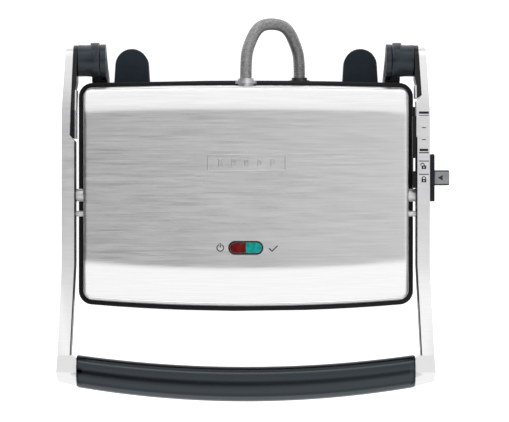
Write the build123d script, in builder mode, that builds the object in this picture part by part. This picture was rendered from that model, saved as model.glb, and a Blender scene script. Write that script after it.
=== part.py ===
"""Contact grill (panini press) for a worktop, modelled closed and locked, in millimetres.

+Z is up, +Y runs from the handle to the hinge, and +X is the side with the height control.
The origin lies on the worktop, at the centre of the four rubber feet.
Four bodies move: the base, the handle frame, the floating lid that hangs in it, and the slider.
"""

import math
import os

from build123d import *

os.makedirs("parts", exist_ok=True)

# ---- plan of the lid and the base ----
half_width = 155.9  # at the lid's black rim
side_front_y = -100.0  # where the straight sides meet the front edge
side_rear_y = 105.3  # where they meet the rear edge
front_bow = 7.1  # how far the front edge bows out at its middle
rear_bow = 2.6
corner_radius = 13.0
smallest_corner = 3.0

# ---- heights above the worktop ----
foot_height = 6.0
cover_plate_thickness = 2.0  # of the plate that closes the base from below
base_height = 56.0  # top of the base rim
base_rim_height = 6.0
cooking_height = 58.0  # the lower plate's cooking surface
plate_gap = 0.8  # between the two plates when closed
lid_gap = 6.0  # between the base rim and the lid rim
lid_rim_height = 12.0
lid_height = 108.0  # flat top of the lid

# ---- clearances ----
running_clearance = 0.05  # a pin in its bearing
fixed_clearance = 0.1  # pieces of one body that fit together
sliding_clearance = 0.35  # the slider in its slot
moving_gap = 0.4  # sideways, between bodies that pass each other

# ---- base ----
base_inset = 0.5  # of the base rim inside the lid's rim
base_taper = 0.06  # inset gained for each millimetre down
shell_wall = 2.6
skirt_thickness = 0.8
skirt_low, skirt_high = 15.0, 49.5
skirt_rear_y = side_rear_y - 17.3  # the steel skirt stops here, before the black rear
foot_radius, foot_button_radius, foot_button_height = 9.0, 4.4, 2.0
foot_spacing_x = 2 * half_width - 61.8
foot_spacing_y = side_rear_y - side_front_y - 37.3
stem_radius = 3.0
vent_length, vent_width, vent_pitch_x, vent_pitch_y = 46.0, 4.0, 73.0, 9.0
cover_screw_x, cover_screw_y = half_width - 19.9, 50.0
cover_screw_radius, cover_screw_head_radius, cover_screw_head = 1.9, 3.6, 1.6
cover_screw_length, screw_boss_radius, screw_boss_height, boss_rib = 12.0, 5.0, 16.0, 3.0

# ---- cooking plates and what heats them ----
plate_inset = 5.0
plate_thickness = 5.0
rim_shelf = 4.0  # width of the base rim's shelf under the lower plate
lip_width, lip_height = 3.0, 2.0
lip_clearance = 3.0  # sideways, between the lower lip and the upper plate
ridge_height, ridge_pitch, groove_width = 3.0, 8.0, 4.6
element_radius, element_bend = 3.3, 20.0
element_half_x, element_front_y = half_width - 43.9, side_front_y + 38.0
element_rear_y, element_end_x, element_end_y = 30.0, 20.0, side_rear_y - 21.3
shield_thickness, shield_gap, shield_notch_gap = 0.8, 3.0, 2.0

# ---- lid ----
cover_inset_low, cover_inset_high = 4.2, 6.2
cover_wall = 1.2
cover_edge_radius = 3.0
front_band, front_drop = 33.0, 10.0  # the sloping front band, and how far it falls
rear_band, rear_drop = 20.0, 7.0
band_overrun, band_clear = 12.0, 5.0  # how far the cut for a band runs past the lid's edge, and above it
shelf_inset, shelf_thickness, lid_rim_edge = 19.0, 3.0, 0.6
tongue_thickness, tongue_height = 2.0, 3.0
plate_screw_inset, plate_screw_y = 14.5, 62.0
plate_screw_radius, plate_screw_head_radius, plate_screw_head = 2.0, 3.2, 2.0
plate_screw_skin = 1.0  # metal left under the screw's blind hole
thermostat_radius, thermostat_height, thermostat_step = 12.0, 7.0, 2.0

# ---- hinge, at the rear ----
hinge_y, hinge_z = side_rear_y + 20.7, lid_height - 30.0
barrel_radius = 15.4
barrel_inner_x = half_width - 20.6
cheek_inner_x, cheek_outer_x = half_width - 25.7, half_width - 20.9
hinge_pin_radius, hinge_pin_cap = 5.0, 1.6  # the cheek closes over the pin's inner end
post_outer_x, post_rear_y, post_top_z, post_bottom_z = half_width - 11.5, side_rear_y + 6.7, 60.0, 14.0
bracket_screw_heights = (9.0, 23.0)  # above the post's foot
bracket_screw_inset = 4.8  # from the post's outer side
bracket_screw_radius, bracket_screw_head_radius, bracket_screw_head = 1.9, 3.6, 1.8
bracket_screw_depth = 15.0
post_top_set_back, cheek_foot_rise = 3.0, 14.0  # of the cheek's edges, against the post's top and foot
cheek_rear_reach, cheek_rear_fall = 10.0, 10.0  # the cheek's lowest rear corner, from the hinge's axis
cheek_front_tuck, cheek_front_fall, cheek_foot_tuck = 0.5, 4.0, 2.0
cheek_margin = 1.0  # sideways, round the cut that clears the base's rim

# ---- arms ----
arm_rear_radius = 14.5
arm_height = 20.0
arm_top_z = lid_height - 4.0
arm_front_drop = 21.0  # from the level middle to the handle
kink_rear_y, kink_front_y = side_rear_y - 26.2, side_front_y + 36.5
arm_inner_x = half_width + 1.3
arm_outer_x = arm_inner_x + 12.4
arm_front_y = side_front_y - 48.0
arm_front_inner_x, arm_front_outer_x = arm_inner_x + 5.7, arm_inner_x + 18.0
arm_rear_inner_x, arm_rear_outer_x = arm_inner_x + 2.6, arm_inner_x + 9.4
hinge_pin_end_x = arm_inner_x + 6.8
pin_end_clearance = 0.5  # between a pin's end and the bottom of its blind bore
liner_outer_x = arm_inner_x + 5.0
liner_left_front_y = kink_rear_y - 23.1  # the right liner starts behind the slider's travel instead
liner_edge = 1.3  # thickness of the liner's front edge
liner_lead = 6.0  # length of the slope in the arm that leads into the liner
strip_thickness, strip_lead = 1.3, 3.0
strip_rear_y, strip_shortest = kink_rear_y + 18.9, 12.0

# ---- handle ----
grip_end_x = arm_inner_x + 0.4
grip_front_middle_y, grip_front_end_y = side_front_y - 91.6, side_front_y - 78.2
grip_rear_middle_y, grip_rear_end_y = side_front_y - 59.0, side_front_y - 47.8
grip_height, grip_z, grip_edge_radius = 25.0, lid_height - 35.0, 10.0
core_radius, core_end_x = 6.0, grip_end_x + 9.4
elbow_outer_x, elbow_taper, elbow_corner = arm_front_outer_x + 1.6, 1.4, 5.2
elbow_crease_y, elbow_nose_z = arm_front_y - 16.0, grip_z - 4.0  # the top slopes to the crease, then falls
elbow_below_arm, elbow_past_grip, elbow_heel = 1.5, 0.6, 4.0
elbow_screw_x, elbow_screw_y = grip_end_x + 10.9, arm_front_y - 7.0
elbow_screw_radius, elbow_screw_length = 1.6, 10.0
elbow_screw_head_radius, elbow_screw_head = 3.0, 1.6

# ---- lid pivot, in the middle of each arm ----
pivot_y, pivot_z = 0.9, lid_height - 17.5
boss_radius, pivot_pin_radius, pivot_pin_end_x = 6.0, 4.0, arm_inner_x + 7.8
boss_hole_clearance = 0.3  # round the bosses where they pass through the cover
pin_tail, stop_tail = 2.0, 1.5  # how far the pins stand out inside the bracket
bracket_x, bracket_thickness = half_width - 11.5, 2.0
bracket_half_length, bracket_top_z, bracket_foot = 14.0, lid_height - 9.0, 5.0
bracket_nose, bracket_slope, bracket_corner = 8.0, 4.0, 6.0
stop_reach, stop_rise = 17.2, 3.5  # the tilt stop pin, ahead of and above the pivot
stop_radius, stop_nub_radius, stop_end_x = 2.7, 1.6, arm_inner_x + 3.8
stop_slot_down, stop_slot_up = 17.5, 6.0  # degrees of the slot below and above the pin

# ---- height control, on the right arm ----
slider_y, slider_z = 16.9, arm_top_z - 12.5  # at the lock mark
slider_travel = 59.0
slider_plate_gap, slider_plate_thickness = 0.8, 3.9
slider_plate_length, slider_plate_height, slider_plate_corner = 43.8, 16.0, 2.0
knob_reach, knob_length, knob_height, knob_edge = 13.8, 14.1, 12.0, 0.8
neck_length, neck_height = 11.0, 5.0
carriage_length, carriage_height = 22.0, 7.0
carriage_x0, carriage_x1 = arm_inner_x + 1.4, arm_inner_x + 9.2
spring_width, spring_half_length, spring_flat = 5.0, 8.0, 3.0
spring_thickness, spring_rise = 0.4, 1.5
leg_thickness, leg_length = 2.9, 14.0
leg_gap = 1.0  # between the leg's foot and the highest step
rail_inner_x, rail_low_z, rail_front_y, rail_rear_y = arm_inner_x - 3.6, arm_top_z - 8.0, 7.4, 73.6
rail_wall, rail_below_top = 0.8, 1.0
rail_slot_front_y, rail_slot_rear_y = 23.0, 35.0
ledge_outer_x, ledge_low_z, ledge_root, ledge_slope = half_width + 5.9, 36.0, 8.0, 8.0
ledge_rim_gap = 0.2  # between the ledge and the base rim's side, above the rim
ledge_steps = ((37.0, 50.0), (47.5, 52.5), (57.5, 55.0), (69.5, 57.5))  # start and height of each
ledge_rear_y = 84.0
striker_front_y, striker_rear_y, striker_low_z, striker_top_z = 9.0, 21.0, 40.0, 54.0
striker_plate, striker_reach, striker_root = 2.0, 5.6, 6.0

# ---- power conduit between the base and the lid ----
conduit_radius = 5.6
conduit_base_x, conduit_base_z = 50.4, 39.0
conduit_lid_x, conduit_lid_z = 0.0, 85.0
conduit_arch = (  # the corners of its route between the two collars
    (50.4, 134.0, 39.0),
    (38.4, 161.4, 54.0),
    (12.0, 161.4, 70.0),
    (0.0, 134.0, 85.0),
)
arc_share = 0.45  # of the shorter run beside a corner, taken up by its arc
flange_radius, flange_thickness = 9.9, 2.0
collar_radius, collar_length = 7.4, 2.6
neck_depth = 8.0  # of the collars' necks, inside the walls
base_collar_y, lid_collar_y = side_rear_y + 2.3, side_rear_y - 0.8

# ---- indicator lights ----
light_y = side_front_y + 52.3
light_length, light_width = 32.4, 12.9
light_lip, light_lip_height, light_depth = 0.6, 0.8, 10.0
light_wall, light_bar, light_edge = 0.9, 0.6, 0.4
bar_overlap, bar_below_lip = 0.5, 0.4
lens_depth, lens_rise, lens_edge = 4.0, 1.2, 0.8
lamp_radius, lamp_length, lamp_x = 3.0, 4.6, 8.0
lamp_board, lamp_board_inset_x, lamp_board_inset_y = 1.6, 2.0, 1.5

# ---- rear feet that the mains cord winds round, and its gland ----
storage_outer_x, storage_width, storage_rear_y = half_width - 29.9, 35.0, side_rear_y + 34.9
storage_inner_x = storage_outer_x - storage_width
storage_low_z, storage_high_z, storage_shoulder = 9.0, 30.0, 15.0
storage_slab_low, storage_slab_high, storage_neck = 3.0, 5.0, 20.0
storage_waist, storage_edge = 1.8, 1.6  # how far each side draws in, and the round on the top edge
storage_neck_rear_y = storage_rear_y - 10.2
gland_x, gland_z, gland_radius, gland_flange_radius = 31.0 - storage_inner_x, 24.0, 6.0, 8.6
gland_rear_y, gland_flange_y, gland_front_y = side_rear_y + 1.3, side_rear_y - 0.3, side_rear_y - 9.3
cord_radius = 3.6
terminal_length, terminal_width, terminal_height, terminal_y = 50.0, 22.0, 12.0, side_rear_y - 34.3
terminal_pitch, terminal_radius, terminal_depth = 14.0, 3.0, 6.0

# ---- heights and places worked out from the values above ----
shell_low_z = foot_height + cover_plate_thickness
shell_high_z = base_height - base_rim_height
lid_low_z = base_height + lid_gap
cover_low_z = lid_low_z + lid_rim_height
lower_plate_inset = base_inset + plate_inset + fixed_clearance
upper_plate_inset = lower_plate_inset + lip_width + lip_clearance
ridge_tip_z = cooking_height + plate_gap
upper_plate_top_z = ridge_tip_z + ridge_height + plate_thickness
shelf_low_z = upper_plate_top_z + fixed_clearance
shelf_top_z = shelf_low_z + shelf_thickness
pass_x = half_width + moving_gap  # nothing on the arms comes further in than this
boss_end_x = arm_inner_x - moving_gap
arm_low_z = arm_top_z - arm_height
slider_plate_x = arm_outer_x + slider_plate_gap
knob_x = slider_plate_x + slider_plate_thickness
leg_foot_z = ledge_steps[-1][1] + leg_gap
beyond = 60.0  # how far a cutting block runs past what it cuts
bore_y = side_rear_y - 15.3  # the bores through the rear walls are cut from here
anchor_y = side_rear_y - 10.3  # what sits on the rear wall is drawn from here, then cut back to the wall
arm_rear_y = hinge_y + arm_rear_radius
arm_overrun = 1.0  # how far the arm's plan runs past its round rear end
plan_low, plan_high = 0.0, 2 * lid_height  # a plan outline is cut through the arm's whole height
bearing_x = arm_inner_x - 7.2  # the arms' bores and slots are cut outward from here
slider_rear_y = slider_y + slider_travel
liner_right_front_y = slider_rear_y + carriage_length / 2 + liner_lead + moving_gap
strip_x = pass_x + strip_thickness


def inset_at(z):
    """How far the base's outside lies inside the lid's rim at height z."""
    return base_inset + (base_height - z) * base_taper


def outline(z, inset=0.0):
    """The rounded plan with bowed front and rear edges, at height z."""
    width = half_width - inset
    front, rear = side_front_y + inset, side_rear_y - inset
    with BuildSketch(Plane.XY.offset(z)) as plan:
        with BuildLine():
            Line((-width, front), (-width, rear))
            ThreePointArc((-width, rear), (0, rear + rear_bow), (width, rear))
            Line((width, rear), (width, front))
            ThreePointArc((width, front), (0, front - front_bow), (-width, front))
        make_face()
        fillet(plan.vertices(), max(corner_radius - inset, smallest_corner))
    return plan.sketch


def slab(low, high, inset, mode=Mode.ADD):
    """A straight block of the plan from low to high."""
    extrude(outline(low, inset), amount=high - low, mode=mode)


def tapered(low, high, extra=0.0, mode=Mode.ADD):
    """The tapering block of the base from low to high, inset by extra."""
    loft([outline(low, inset_at(low) + extra), outline(high, inset_at(high) + extra)], ruled=True, mode=mode)


def rod(plane, radius, length, mode=Mode.ADD):
    """A round bar that starts on a plane."""
    with BuildSketch(plane) as section:
        Circle(radius)
    extrude(section.sketch, amount=length, mode=mode)


def facing_x(x, y, z):
    """A plane that looks along +X."""
    return Plane(origin=(x, y, z), x_dir=(0, 1, 0), z_dir=(1, 0, 0))


def facing_y(x, y, z):
    """A plane that looks along +Y."""
    return Plane(origin=(x, y, z), x_dir=(-1, 0, 0), z_dir=(0, 1, 0))


def facing_z(x, y, z):
    """A plane that looks along +Z."""
    return Plane(origin=(x, y, z), x_dir=(1, 0, 0), z_dir=(0, 0, 1))


def block(x0, x1, y0, y1, z0, z1, mode=Mode.ADD):
    """A box between two corners."""
    with BuildSketch(facing_z((x0 + x1) / 2, (y0 + y1) / 2, z0)) as section:
        Rectangle(x1 - x0, y1 - y0)
    extrude(section.sketch, amount=z1 - z0, mode=mode)


def side_shape(x0, x1, points, mode=Mode.ADD):
    """A shape drawn on the side, (y, z), from x0 to x1."""
    with BuildSketch(facing_x(x0, 0, 0)) as section:
        with BuildLine():
            Polyline(*points, close=True)
        make_face()
    extrude(section.sketch, amount=x1 - x0, mode=mode)


def plan_shape(z0, z1, points, mode=Mode.ADD):
    """A shape drawn on the plan, (x, y), from z0 to z1."""
    with BuildSketch(Plane.XY.offset(z0)) as section:
        with BuildLine():
            Polyline(*points, close=True)
        make_face()
    extrude(section.sketch, amount=z1 - z0, mode=mode)


def pill(z, length, width, height, mode=Mode.ADD):
    """A slot-shaped block over the indicator lights' centre."""
    with BuildSketch(facing_z(0, light_y, z)) as section:
        SlotOverall(length, width)
    extrude(section.sketch, amount=height, mode=mode)


def save(built, name):
    """Labels a finished piece and writes its STEP file."""
    built.part.label = name
    export_step(built.part, f"parts/{name}.step")


def save_twin(built, name):
    """Writes the left-hand twin of a right-hand piece."""
    with BuildPart() as twin:
        mirror(built.part, about=Plane.YZ)
    save(twin, name + "_left")


def save_pair(built, name):
    """Writes a right-hand piece and its left-hand twin."""
    save(built, name + "_right")
    save_twin(built, name)


# =====================================================================
# Base
# =====================================================================

bracket_screw_x = post_outer_x - bracket_screw_inset
bracket_screws = [(bracket_screw_x, post_bottom_z + rise) for rise in bracket_screw_heights]

# Black moulded tub, with bosses for the screws that come up through the cover plate.
with BuildPart() as base_shell:
    tapered(shell_low_z, shell_high_z, skirt_thickness)
    rod(facing_y(conduit_base_x, anchor_y, conduit_base_z), flange_radius, base_collar_y - anchor_y)
    tapered(shell_low_z, shell_high_z, skirt_thickness + shell_wall, Mode.SUBTRACT)
    for x in (-cover_screw_x, cover_screw_x):
        wall_x = math.copysign(half_width - inset_at(shell_low_z) - skirt_thickness - shell_wall / 2, x)
        for y in (-cover_screw_y, cover_screw_y):
            rod(facing_z(x, y, shell_low_z), screw_boss_radius, screw_boss_height)
            block(
                min(x, wall_x), max(x, wall_x), y - boss_rib / 2, y + boss_rib / 2,
                shell_low_z, shell_low_z + screw_boss_height,
            )
            rod(facing_z(x, y, shell_low_z), cover_screw_radius, screw_boss_height, Mode.SUBTRACT)
    rod(
        facing_y(conduit_base_x, bore_y, conduit_base_z), collar_radius + fixed_clearance,
        beyond, Mode.SUBTRACT,
    )
    rod(facing_y(gland_x, bore_y, gland_z), gland_radius + fixed_clearance, beyond, Mode.SUBTRACT)
    for x, z in bracket_screws:
        for side in (-1, 1):
            rod(facing_y(side * x, bore_y, z), bracket_screw_radius + fixed_clearance, beyond, Mode.SUBTRACT)
save(base_shell, "base_shell")

# Brushed steel band round the front and the sides.
with BuildPart() as base_skirt:
    tapered(skirt_low, skirt_high)
    tapered(skirt_low, skirt_high, skirt_thickness, Mode.SUBTRACT)
    block(-2 * half_width, 2 * half_width, skirt_rear_y, 2 * side_rear_y, 0, base_height, Mode.SUBTRACT)
save(base_skirt, "base_skirt")

# Black rim with a shelf that carries the lower plate.
with BuildPart() as base_rim:
    tapered(shell_high_z, base_height)
    slab(shell_high_z, base_height, inset_at(shell_high_z) + plate_inset + rim_shelf, Mode.SUBTRACT)
    slab(cooking_height - plate_thickness, base_height, base_inset + plate_inset, Mode.SUBTRACT)
save(base_rim, "base_rim")

with BuildPart() as bottom_cover:
    slab(foot_height, shell_low_z, inset_at(shell_low_z) + skirt_thickness)
    with BuildSketch(Plane.XY.offset(foot_height)) as holes:
        with GridLocations(vent_pitch_x, vent_pitch_y, 3, 7):
            SlotOverall(vent_length, vent_width)
        with GridLocations(foot_spacing_x, foot_spacing_y, 2, 2):
            Circle(stem_radius + fixed_clearance)
        with GridLocations(2 * cover_screw_x, 2 * cover_screw_y, 2, 2):
            Circle(cover_screw_radius + fixed_clearance)
    extrude(amount=cover_plate_thickness, mode=Mode.SUBTRACT)
save(bottom_cover, "bottom_cover")

# Each foot is a rubber puck whose stem snaps through the cover plate.
with BuildPart() as rubber_feet:
    for low, height, radius in (
        (0, foot_height, foot_radius),
        (foot_height, cover_plate_thickness, stem_radius),
        (shell_low_z, foot_button_height, foot_button_radius),
    ):
        with BuildSketch(Plane.XY.offset(low)) as disc:
            with GridLocations(foot_spacing_x, foot_spacing_y, 2, 2):
                Circle(radius)
        extrude(amount=height)
save(rubber_feet, "rubber_feet")

with BuildPart() as bottom_screws:
    for low, height, radius in (
        (foot_height - cover_screw_head, cover_screw_head, cover_screw_head_radius),
        (foot_height, cover_screw_length, cover_screw_radius - fixed_clearance),
    ):
        with BuildSketch(Plane.XY.offset(low)) as disc:
            with GridLocations(2 * cover_screw_x, 2 * cover_screw_y, 2, 2):
                Circle(radius)
        extrude(amount=height)
save(bottom_screws, "bottom_screws")

# Flat cast plate with a raised lip all round.
with BuildPart() as lower_plate:
    slab(cooking_height - plate_thickness, cooking_height + lip_height, lower_plate_inset)
    slab(cooking_height, cooking_height + lip_height, lower_plate_inset + lip_width, Mode.SUBTRACT)
save(lower_plate, "lower_plate")


def element_path(z):
    """One open loop, whose two ends turn back at the rear."""
    with BuildLine() as path:
        FilletPolyline(
            (-element_end_x, element_end_y, z),
            (-element_end_x, element_rear_y, z),
            (-element_half_x, element_rear_y, z),
            (-element_half_x, element_front_y, z),
            (element_half_x, element_front_y, z),
            (element_half_x, element_rear_y, z),
            (element_end_x, element_rear_y, z),
            (element_end_x, element_end_y, z),
            radius=element_bend,
        )
    return path.wire()


def element_start(z):
    """The plane that the loop sets out from, forward."""
    return Plane(origin=(-element_end_x, element_end_y, z), z_dir=(0, -1, 0))


lower_element_z = cooking_height - plate_thickness - element_radius
with BuildPart() as lower_element:
    with BuildSketch(element_start(lower_element_z)):
        Circle(element_radius)
    sweep(path=element_path(lower_element_z))
save(lower_element, "lower_element")

lower_shield_z = lower_element_z - element_radius - shield_gap
with BuildPart() as lower_heat_shield:
    shield_inset = inset_at(lower_shield_z - shield_thickness) + skirt_thickness + shell_wall
    slab(lower_shield_z - shield_thickness, lower_shield_z, shield_inset + fixed_clearance)
    block(
        conduit_base_x - flange_radius - shield_notch_gap, conduit_base_x + flange_radius + shield_notch_gap,
        anchor_y, anchor_y + beyond, lower_shield_z - shield_thickness, lower_shield_z, Mode.SUBTRACT,
    )
save(lower_heat_shield, "lower_heat_shield")

with BuildPart() as terminal_block:
    with BuildSketch(facing_z(gland_x, terminal_y, shell_low_z)) as body:
        Rectangle(terminal_length, terminal_width)
    extrude(amount=terminal_height)
    with BuildSketch(facing_z(gland_x, terminal_y, shell_low_z + terminal_height - terminal_depth)) as ports:
        with GridLocations(terminal_pitch, 1, 3, 1):
            Circle(terminal_radius)
    extrude(amount=terminal_depth, mode=Mode.SUBTRACT)
save(terminal_block, "terminal_block")

# Where the mains cord enters the rear wall.
with BuildPart() as cord_gland:
    rod(facing_y(gland_x, gland_front_y, gland_z), gland_flange_radius, gland_flange_y - gland_front_y)
    tapered(shell_low_z, shell_high_z, skirt_thickness, Mode.SUBTRACT)
    rod(facing_y(gland_x, gland_front_y, gland_z), gland_radius, gland_rear_y - gland_front_y)
    rod(facing_y(gland_x, gland_front_y, gland_z), cord_radius, beyond, Mode.SUBTRACT)
save(cord_gland, "cord_gland")

# ---- hinge brackets and pins ----

hinge_pin_root_x = cheek_inner_x + hinge_pin_cap
with BuildPart() as hinge_bracket:
    rod(facing_x(cheek_inner_x, hinge_y, hinge_z), barrel_radius, cheek_outer_x - cheek_inner_x)
    side_shape(
        cheek_inner_x,
        cheek_outer_x,
        (
            (anchor_y, post_bottom_z),
            (anchor_y, post_top_z),
            (post_rear_y - post_top_set_back, post_top_z),
            (hinge_y - barrel_radius + cheek_front_tuck, hinge_z - cheek_front_fall),
            (hinge_y + cheek_rear_reach, hinge_z - cheek_rear_fall),
            (hinge_y - cheek_foot_tuck, post_top_z - cheek_foot_rise),
            (post_rear_y, post_bottom_z),
        ),
    )
    side_shape(
        cheek_outer_x,
        post_outer_x,
        (
            (anchor_y, post_bottom_z),
            (anchor_y, post_top_z),
            (post_rear_y, post_top_z),
            (post_rear_y, post_bottom_z),
        ),
    )
    tapered(shell_low_z, shell_high_z, skirt_thickness, Mode.SUBTRACT)
    tapered(shell_high_z, base_height, 0, Mode.SUBTRACT)
    block(
        cheek_inner_x - cheek_margin, post_outer_x + cheek_margin, bore_y, side_rear_y + rear_bow,
        base_height, base_height + beyond, Mode.SUBTRACT,
    )
    rod(
        facing_x(hinge_pin_root_x, hinge_y, hinge_z), hinge_pin_radius + running_clearance,
        beyond, Mode.SUBTRACT,
    )
    for x, z in bracket_screws:
        rod(facing_y(x, bore_y, z), bracket_screw_radius + fixed_clearance, beyond, Mode.SUBTRACT)
save_pair(hinge_bracket, "hinge_bracket")

with BuildPart() as hinge_pin:
    rod(facing_x(hinge_pin_root_x, hinge_y, hinge_z), hinge_pin_radius, hinge_pin_end_x - hinge_pin_root_x)
save_pair(hinge_pin, "hinge_pin")

with BuildPart() as bracket_screw_set:
    for x, z in bracket_screws:
        for side in (-1, 1):
            front = facing_y(side * x, post_rear_y - bracket_screw_depth, z)
            rod(front, bracket_screw_radius, bracket_screw_depth)
            rod(facing_y(side * x, post_rear_y, z), bracket_screw_head_radius, bracket_screw_head)
save(bracket_screw_set, "bracket_screws")

# ---- rear feet: two slabs on a neck, which the mains cord winds round ----


def storage_plan(z):
    """The tongue-shaped plan of a rear foot."""
    middle_x = (storage_inner_x + storage_outer_x) / 2
    left_x, right_x = storage_inner_x + storage_waist, storage_outer_x - storage_waist
    shoulder_y = storage_rear_y - storage_shoulder
    with BuildSketch(Plane.XY.offset(z)) as plan:
        with BuildLine():
            Line((storage_outer_x, anchor_y), (right_x, shoulder_y))
            ThreePointArc((right_x, shoulder_y), (middle_x, storage_rear_y), (left_x, shoulder_y))
            Polyline((left_x, shoulder_y), (storage_inner_x, anchor_y), (storage_outer_x, anchor_y))
        make_face()
    return plan.sketch


with BuildPart() as storage_foot:
    storage_middle_x = (storage_inner_x + storage_outer_x) / 2
    extrude(storage_plan(storage_high_z - storage_slab_high), amount=storage_slab_high)
    top_edges = storage_foot.edges().group_by(Axis.Z)[-1]
    fillet(top_edges.filter_by(lambda edge: edge.center().Y > anchor_y + storage_edge), storage_edge)
    extrude(storage_plan(storage_low_z), amount=storage_slab_low)
    block(
        storage_middle_x - storage_neck / 2, storage_middle_x + storage_neck / 2,
        anchor_y, storage_neck_rear_y, storage_low_z, storage_high_z - storage_slab_high / 2,
    )
    tapered(shell_low_z, shell_high_z, skirt_thickness, Mode.SUBTRACT)
save_pair(storage_foot, "storage_foot")

# ---- the conduit and the threaded collars that hold its ends ----


def save_collar(x, wall_y, z, name):
    """A neck through the wall, a flange against it and a ring round the conduit."""
    with BuildPart() as ring:
        rod(facing_y(x, wall_y - neck_depth, z), collar_radius, neck_depth)
        rod(facing_y(x, wall_y, z), flange_radius, flange_thickness)
        rod(facing_y(x, wall_y + flange_thickness, z), collar_radius, collar_length)
        rod(facing_y(x, wall_y - neck_depth, z), conduit_radius, beyond, Mode.SUBTRACT)
    save(ring, name)


save_collar(conduit_base_x, base_collar_y, conduit_base_z, "conduit_collar_base")
save_collar(conduit_lid_x, lid_collar_y, conduit_lid_z, "conduit_collar_lid")

base_collar_end_y = base_collar_y + flange_thickness + collar_length
lid_collar_end_y = lid_collar_y + flange_thickness + collar_length
conduit_route = (
    (conduit_base_x, base_collar_end_y, conduit_base_z),
    *conduit_arch,
    (conduit_lid_x, lid_collar_end_y, conduit_lid_z),
)


def bend_radii(route):
    """The largest arc at each inner corner that leaves a little of both runs straight."""
    radii = []
    for before, corner, after in zip(route, route[1:], route[2:]):
        first, second = Vector(*corner) - Vector(*before), Vector(*after) - Vector(*corner)
        half_turn = math.radians(first.get_angle(second)) / 2
        radii.append(arc_share * min(first.length, second.length) / math.tan(half_turn))
    return radii


conduit_radii = bend_radii(conduit_route)
print("conduit bend radii", [round(radius, 1) for radius in conduit_radii])
with BuildPart() as power_conduit:
    with BuildLine() as conduit_path:
        FilletPolyline(*conduit_route, radius=conduit_radii)
    with BuildSketch(facing_y(conduit_base_x, base_collar_end_y, conduit_base_z)) as conduit_section:
        Circle(conduit_radius)
    sweep()
conduit_length = conduit_path.wire().length
section_length = power_conduit.part.volume / (math.pi * conduit_radius**2)
print("conduit length", round(conduit_length, 2), "volume over section", round(section_length, 2))
save(power_conduit, "power_conduit")

# ---- what the height leg comes down on, beside the base ----

with BuildPart() as height_ledge:
    profile = [(ledge_steps[0][0], ledge_low_z)]
    for step, (start_y, top_z) in enumerate(ledge_steps):
        end_y = ledge_steps[step + 1][0] if step + 1 < len(ledge_steps) else ledge_rear_y
        profile += [(start_y, top_z), (end_y, top_z)]
    profile += [(ledge_rear_y, ledge_low_z + ledge_slope)]
    side_shape(half_width - ledge_root, ledge_outer_x, profile)
    tapered(shell_low_z, base_height, 0, Mode.SUBTRACT)
    block(
        half_width - ledge_root, half_width + ledge_rim_gap, 0, 2 * ledge_rear_y,
        base_height, base_height + beyond, Mode.SUBTRACT,
    )
save(height_ledge, "height_ledge")

with BuildPart() as lock_striker:
    block(
        half_width - striker_root, half_width + striker_plate,
        striker_front_y, striker_rear_y, striker_low_z, striker_top_z,
    )
    block(
        half_width, half_width + striker_reach,
        striker_front_y, striker_rear_y, striker_top_z - striker_plate, striker_top_z,
    )
    tapered(shell_low_z, base_height, 0, Mode.SUBTRACT)
save(lock_striker, "lock_striker")

# =====================================================================
# Lid
# =====================================================================


def band_cut(side, edge_inset, bow, band, drop, top_z):
    """Cuts a sloping band along the bowed front (-1) or rear (1) edge: a cone about the edge's centre."""
    width = half_width - edge_inset
    edge_y = side_front_y + edge_inset if side < 0 else side_rear_y - edge_inset
    arc_radius = (width**2 + bow**2) / (2 * bow)
    centre_y = edge_y + side * (bow - arc_radius)
    outside = band + band_overrun
    crease_y = centre_y + side * (arc_radius - band)
    far_y = crease_y + side * outside
    with BuildSketch(Plane.YZ) as section:
        with BuildLine():
            Polyline(
                (crease_y, top_z),
                (far_y, top_z + band_clear),
                (far_y, top_z - drop * outside / band),
                close=True,
            )
        make_face()
    revolve(section.sketch, axis=Axis((0, centre_y, 0), (0, 0, 1)), mode=Mode.SUBTRACT)


def cover_solid(thickness):
    """The lid cover's outside, taken in by a wall's thickness."""
    loft(
        [
            outline(cover_low_z, cover_inset_low + thickness),
            outline(lid_height - thickness, cover_inset_high + thickness),
        ],
        ruled=True,
    )
    band_cut(-1, cover_inset_high, front_bow, front_band, front_drop, lid_height - thickness)
    band_cut(1, cover_inset_high, rear_bow, rear_band, rear_drop, lid_height - thickness)


with BuildPart() as cover_core:
    cover_solid(cover_wall)

# Brushed steel top: pressed, with a wide sloping band in front and a narrow one behind.
with BuildPart() as lid_cover:
    cover_solid(0)
    top_faces = lid_cover.faces().filter_by(lambda face: face.normal_at().Z > 0.9)
    side_faces = lid_cover.faces().filter_by(lambda face: abs(face.normal_at().Z) < 0.3)
    rim_edges = [edge for edge in top_faces.edges() if any(edge in face.edges() for face in side_faces)]
    fillet(rim_edges, cover_edge_radius)
    add(cover_core.part, mode=Mode.SUBTRACT)
    pill(
        lid_height - light_depth, light_length - 2 * light_lip,
        light_width - 2 * light_lip, beyond, Mode.SUBTRACT,
    )
    for side in (-1, 1):
        for y, z, radius in (
            (pivot_y, pivot_z, boss_radius),
            (pivot_y - stop_reach, pivot_z + stop_rise, stop_radius),
        ):
            wall = facing_x(side * half_width - beyond / 2, y, z)
            rod(wall, radius + boss_hole_clearance, beyond, Mode.SUBTRACT)
    rod(
        facing_y(conduit_lid_x, bore_y, conduit_lid_z), collar_radius + fixed_clearance,
        beyond, Mode.SUBTRACT,
    )
save(lid_cover, "lid_cover")

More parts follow.
